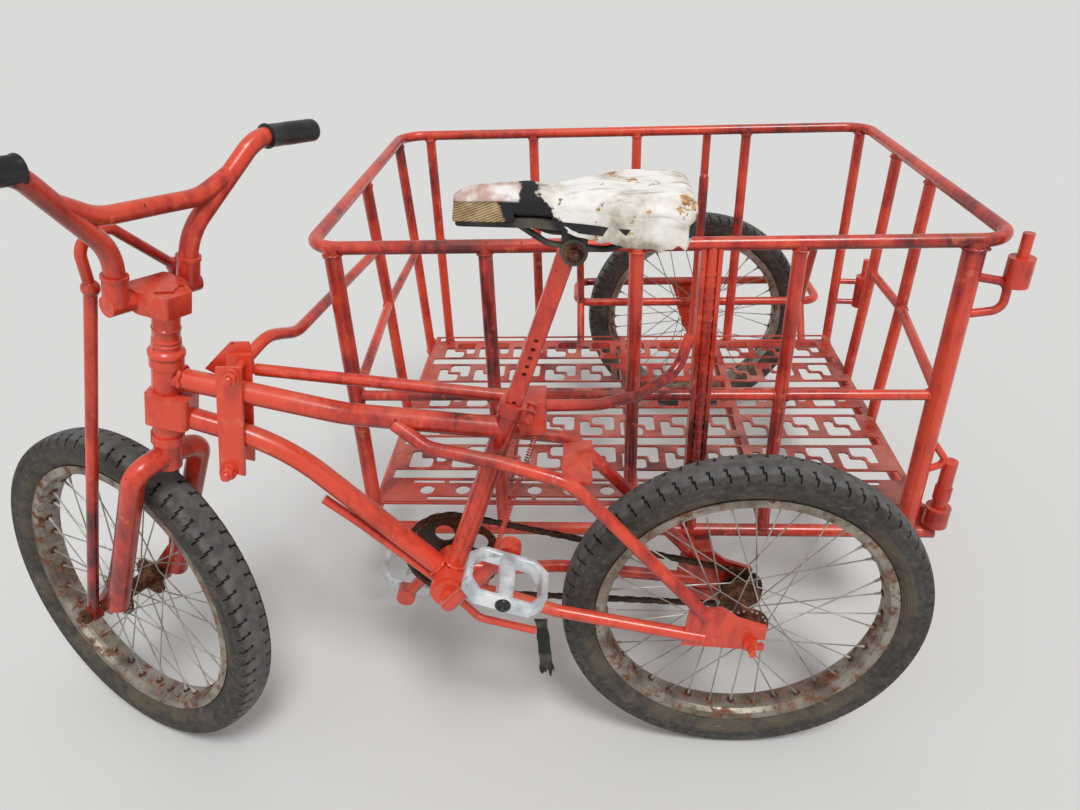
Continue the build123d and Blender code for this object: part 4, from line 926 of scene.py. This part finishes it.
def build_pedal(node, side):
    """Thin walled cage with two windows, its pins and the cap of its bearing."""
    low, high = (Vector(corner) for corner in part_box(node))
    outer_end = high.y if side > 0 else low.y
    middle = Vector(((low.x + high.x) / 2, outer_end - side * 42.5 * MM, (low.z + high.z) / 2))
    ahead, up = Vector((0.94, 0, 0.34)), Vector((-0.34, 0, 0.94))
    place = facing(middle, ahead, up.cross(ahead), up)
    # Half of the cage seen from above, outside and round its window, and how high it stands at each corner
    outer = ((0, -40), (33, -40), (50, -21), (50, 21), (33, 40), (0, 40))
    inner = ((9, -33), (30, -33), (42, -18), (42, 18), (30, 33), (9, 33))
    heights = (10, 10, 12, 12, 10, 10)
    bm = bmesh.new()
    for mirror in (1, -1):
        loops = []
        for outline in (outer, inner):
            for level in (1, -1):
                loops.append([
                    bm.verts.new((mirror * x * MM, y * MM, level * tall * MM))
                    for (x, y), tall in zip(outline, heights)
                ])
        out_top, out_low, in_top, in_low = loops
        for i in range(6):
            j = (i + 1) % 6
            bm.faces.new((out_top[i], out_top[j], in_top[j], in_top[i]))
            bm.faces.new((out_low[i], out_low[j], in_low[j], in_low[i]))
            bm.faces.new((in_top[i], in_top[j], in_low[j], in_low[i]))
            if j:
                bm.faces.new((out_top[i], out_top[j], out_low[j], out_low[i]))
    bmesh.ops.remove_doubles(bm, verts=bm.verts, dist=1e-6)
    bmesh.ops.recalc_face_normals(bm, faces=bm.faces)
    round_off(bm, [edge for edge in bm.edges if edge.is_manifold and edge.calc_face_angle() > 0.5], 0.0018)
    pin = kept(turned([(0.01, -2.0), (1.6, -2.0), (1.6, 1.2), (1.1, 1.9), (0.01, 1.9)], 10))
    pin_feet = [(x, y, 9.5) for x in (46, -46) for y in (14, -14)]
    pin_feet += [(x, y, 7.5) for y in (36.5, -36.5) for x in (16, -16)]
    for x, y, tall in pin_feet:
        for level in (1, -1):
            foot = Matrix.Translation((x * MM, y * MM, level * tall * MM))
            stamp(bm, pin, foot @ Matrix.Diagonal((1, 1, level, 1)))
    bmesh.ops.transform(bm, matrix=place, verts=bm.verts)
    bmesh.ops.recalc_face_normals(bm, faces=bm.faces)
    piece(node + "_cage", smooth(bm, 40), "pedal_alloy", node, node)
    rod = turned([(0.01, -42), (6.5, -42), (6.5, -38), (9.0, -38), (9.0, 30), (0.01, 30)], 20)
    bmesh.ops.transform(rod, matrix=stand(middle, ACROSS * side), verts=rod.verts)
    piece(node + "_spindle", smooth(rod, 40), "pedal_alloy", node)
    cap = turned([(0.01, 37), (9.4, 37), (9.4, 41), (8.4, 42.2), (5, 42.2), (4.4, 41.2), (0.01, 41.2)], 24)
    bmesh.ops.transform(cap, matrix=stand(middle, ACROSS * side), verts=cap.verts)
    piece(node + "_cap", smooth(cap, 40), "grip_rubber", node)


build_pedal("left_pedal", 1)
build_pedal("right_pedal", -1)


def build_flap():
    """Crumpled strip hanging from the brake lever, inside its solid's box."""
    low, high = (Vector(corner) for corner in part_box("brake_flap"))
    bm = bmesh.new()
    bmesh.ops.create_grid(bm, x_segments=12, y_segments=40, size=0.5)
    for vert in bm.verts:
        across, down = vert.co.x + 0.5, vert.co.y + 0.5
        ragged = 1 - 0.16 * (1 - down) ** 3 * (0.5 + noise.noise(Vector((across * 5, 1, 0))))
        left = low.x + (high.x - low.x) * 0.26 * down ** 0.7
        right = high.x - (high.x - low.x) * 0.22 * (1 - down) ** 0.5
        pinch = 0.5 + (across - 0.5) * (0.86 + 0.28 * noise.noise(Vector((0, 4 * down, 3))))
        vert.co = Vector((
            left + (right - left) * pinch,
            (low.y + high.y) / 2 + 0.0021 * noise.noise(Vector((across * 2.2, down * 6, 0))),
            high.z - (high.z - low.z) * (1 - down) * ragged,
        ))
    bmesh.ops.solidify(bm, geom=bm.faces[:], thickness=0.0008)
    bmesh.ops.recalc_face_normals(bm, faces=bm.faces)
    return smooth(bm, 60)


piece("brake_flap_strip", build_flap(), "flap_rubber", "frame_and_cage", "brake_flap")


def build_grips():
    """Two grips, each lipped at its inner end and rounded over the end of the bar."""
    bm = bmesh.new()
    for side, start in ((1, -105), (-1, -81)):
        outline = [(11.7, start), (15.0, start + 0.4), (15.4, start + 2), (15.0, start + 3.8), (13.9, start + 5.6)]
        outline += [(14.0, start + 30), (14.4, start / 2), (14.2, -12), (14.4, -4)]
        outline += [(14.1, 1.6), (13.2, 3.2), (11.4, 3.9), (0.01, 3.9)]
        stamp(bm, kept(turned(outline, 36)), stand(steered(20, side * 247, 371), LEFT * side))
    return smooth(bm, 50)


piece("bar_grips", build_grips(), "grip_rubber", "steering", "grips")


def build_collars():
    """Stack of worn collars and lock nuts between the head and the stem."""
    outline = [
        (14.1, 128.9), (21.4, 129.2), (22.0, 130.4), (22.0, 134.4), (21.0, 136.2), (18.6, 138.0), (17.2, 139.4),
        (17.0, 141.4), (17.5, 142.6), (17.5, 146.2), (16.6, 147.2), (16.6, 149.0), (17.3, 150.0), (17.1, 152.4),
        (16.2, 153.4), (16.3, 164.6), (17.1, 165.6), (17.1, 167.4), (16.1, 168.4), (16.4, 189.0), (14.1, 189.2),
    ]
    bm = bmesh.new()
    stamp(bm, kept(turned(outline, 48, closed=True)), stand(HEAD_BASE, STEER_AXIS))
    return smooth(bm, 40)


piece("head_collars", build_collars(), "red_paint", "steering")


def build_saddle_bolt():
    """Bolt through the saddle's clamp, with a washer and a six-sided head at each side."""
    bm = bmesh.new()
    middle = SEAT_TOP + Vector((-6, 0, 2)) * MM
    washer = kept(turned([(0.01, 25.8), (10.6, 25.8), (11.0, 26.2), (11.0, 27.2), (10.6, 27.6), (0.01, 27.6)], 24))
    head = kept(turned([(0.01, 27.4), (6.6, 27.4), (6.6, 32.4), (5.6, 33.2), (0.01, 33.2)], 6))
    for side in (1, -1):
        for pattern in (washer, head):
            stamp(bm, pattern, stand(middle, ACROSS * side))
    return smooth(bm, 40)


piece("saddle_bolt", build_saddle_bolt(), "rusty_steel", "frame_and_cage")


def softened(node, slot, body, width):
    """A boxy node with its hard outer edges rounded."""
    bm = bmesh.new()
    bm.from_mesh(nodes[node].data)
    bmesh.ops.remove_doubles(bm, verts=bm.verts, dist=1e-6)
    bmesh.ops.dissolve_limit(bm, angle_limit=math.radians(1), verts=bm.verts, edges=bm.edges)
    hard = [
        edge for edge in bm.edges
        if edge.is_manifold and edge.is_convex and edge.calc_face_angle() > 0.6 and edge.calc_length() > width * 2
    ]
    round_off(bm, hard, width, clamp=True)
    piece(node + "_rounded", smooth(bm), slot, body, node)


softened("stem", "red_paint", "steering", 0.0045)
softened("front_clamp", "red_paint", "frame_and_cage", 0.0012)
softened("seat_bracket", "red_paint", "frame_and_cage", 0.0012)
softened("rear_axle", "red_paint", "frame_and_cage", 0.0008)


# Weld beads and threads

def bead_pattern():
    """Lumpy ring about Z for a pipe of radius 1, as hand welding leaves it."""
    bm = bmesh.new()
    start = Matrix.Translation((1.05, 0, 0)) @ Matrix.Rotation(math.pi / 2, 4, "X")
    ring = bmesh.ops.create_circle(bm, segments=6, radius=0.16, matrix=start)
    bmesh.ops.spin(
        bm, geom=ring["verts"] + bm.edges[:], cent=(0, 0, 0), axis=(0, 0, 1), angle=2 * math.pi, steps=28,
        use_merge=True,
    )
    bmesh.ops.remove_doubles(bm, verts=bm.verts, dist=1e-5)
    for vert in bm.verts:
        turn = math.atan2(vert.co.y, vert.co.x)
        lump = 1 + 0.05 * math.sin(turn * 9) + 0.09 * noise.noise(Vector((math.cos(turn), math.sin(turn), 0)) * 3)
        vert.co = Vector((vert.co.x * lump, vert.co.y * lump, vert.co.z * (1 + 0.5 * math.sin(turn * 7))))
    bmesh.ops.recalc_face_normals(bm, faces=bm.faces)
    return kept(smooth(bm, 80))


bead = bead_pattern()
random.seed(11)


def weld(bm, centre, axis, radius):
    """One bead round a pipe, turned at random so that no two look alike."""
    size = radius * MM
    place = stand(centre, axis) @ Matrix.Rotation(random.uniform(0, 6.28), 4, "Z")
    stamp(bm, bead, place @ Matrix.Diagonal((size, size, size * random.uniform(0.9, 1.3), 1)))


WELD_GAP = 0.5  # from a post's skin to the bead on a rail or beam, in millimetres
near_posts = [(573, NEAR_Y, 12.0)] + [(x, NEAR_Y, POST) for x in (360, 153, -65)] + [(-292, NEAR_Y, 15.0)]
far_posts = [(x, FAR_Y, POST) for x in (550, 333, 118, -106)] + [(-331, -868, POST)]


def build_cage_welds():
    """Beads at the heads and feet of the posts, on the middle rails and on the floor's beams."""
    bm = bmesh.new()
    for posts, rail_rear, rail_front in ((near_posts, -292, 573), (far_posts, -300, 550)):
        for x, y, radius in posts:
            weld(bm, at(x, y, TOP_Z - 9.5), UP, radius)
            weld(bm, at(x, y, BEAM_Z + 11), UP, radius)
            for side in (-1, 1):
                if rail_rear < x + side < rail_front:
                    weld(bm, at(x + side * (radius + WELD_GAP), y, MID_Z), ALONG, RAIL)
    for post_ys, head_x, foot_x, rail_x in (
        ((-546, -832), 607.5, 586.5, 596), ((-510, -681), -344.5, -326.5, -339),
    ):
        for y in post_ys:
            weld(bm, at(head_x, y, TOP_Z - 10), UP, POST)
            weld(bm, at(foot_x, y, BEAM_Z + 11), UP, POST)
            weld(bm, at(rail_x, y + POST + WELD_GAP, MID_Z), ACROSS, RAIL)
    for x in (586, 362, 140, -70, -326):
        for y, side in ((NEAR_Y, -1), (FAR_Y, 1)):
            weld(bm, at(x, y + side * (POST + WELD_GAP), BEAM_Z), ACROSS, BEAM)
    return bm


def build_frame_welds():
    """Beads on the main tubes, where they leave the head and the bottom bracket."""
    bm = bmesh.new()
    upper, lower = HEAD_BASE + STEER_AXIS * 98 * MM, HEAD_BASE + STEER_AXIS * 46 * MM
    for start, end, distance in (
        (upper, CLUSTER + Vector((0, 0, -24)) * MM, 0.0195), (lower, DOWN_BEND, 0.0195),
        (BRACKET, DOWN_BEND, 0.027), (BRACKET, CLUSTER, 0.027),
    ):
        run = (end - start).normalized()
        weld(bm, start + run * distance, run, FRAME_TUBE)
    return bm


piece("cage_welds", build_cage_welds(), "red_paint", "frame_and_cage")
piece("frame_welds", build_frame_welds(), "red_paint", "frame_and_cage")


def build_threads():
    """Rolled threads on the ends of the two long clamp bolts."""
    bm = bmesh.new()
    root, crest, pitch = 4.9, 5.35, 1.35
    outline = [(root, 0.0)]
    for turn in range(9):
        outline += [(crest, 0.5 + turn * pitch), (root, 1.1 + turn * pitch)]
    ring = kept(turned(outline, 16))
    for ahead, up in ((-116, 104), (-81, -35)):
        for side in (-1, 1):
            centre = HEAD_BASE + Vector((ahead, side * 24.6, up)) * MM
            stamp(bm, ring, stand(centre, ACROSS * side))
    return smooth(bm, 60)


piece("clamp_threads", build_threads(), "red_paint", "frame_and_cage")


# Camera, floor and light

def build_camera():
    """The photo's camera, as it was solved from the cage's parallel bars and the rear rim."""
    forward = Vector((0.0594, -0.8577, -0.5111)).normalized()
    right = forward.cross(UP).normalized()
    above = right.cross(forward)
    roll = math.radians(-2.06)
    x = right * math.cos(roll) + above * math.sin(roll)
    y = above * math.cos(roll) - right * math.sin(roll)
    data = bpy.data.cameras.new("camera")
    data.lens = 27.03
    data.sensor_width = 36
    data.clip_end = 200
    camera = shown("camera", data)
    camera.matrix_world = facing(REAR_AXLE + Vector((0.2192, 0.8556, 0.8501)), x, y, -forward)
    bpy.context.scene.camera = camera


def build_floor():
    """Pale matt floor, wide enough to run out of the picture."""
    bm = bmesh.new()
    bmesh.ops.create_grid(bm, x_segments=1, y_segments=1, size=60)
    floor = shown("floor", kept(bm, "floor"))
    floor.data.materials.append(Finish("pale floor").done("DEDEDC", 0.9))


def build_light():
    """Even white sky, with a soft sun from above and a weak one from ahead, both on the camera's side."""
    world = bpy.data.worlds.new("soft sky")
    bpy.context.scene.world = world
    world.use_nodes = True
    back = world.node_tree.nodes["Background"]
    back.inputs[0].default_value = (1, 1, 1, 1)
    back.inputs[1].default_value = 0.5
    for name, aim, strength, size in (
        ("key", (0.25, -0.5, -1.0), 1.55, 0.3), ("fill", (-0.6, -0.9, -0.5), 0.3, 1.2),
    ):
        lamp = bpy.data.lights.new(name, "SUN")
        lamp.energy = strength
        lamp.angle = size
        shown(name, lamp).matrix_world = stand(UP * 3, -Vector(aim))
    bpy.context.scene.view_settings.view_transform = "Standard"


build_camera()
build_floor()
build_light()
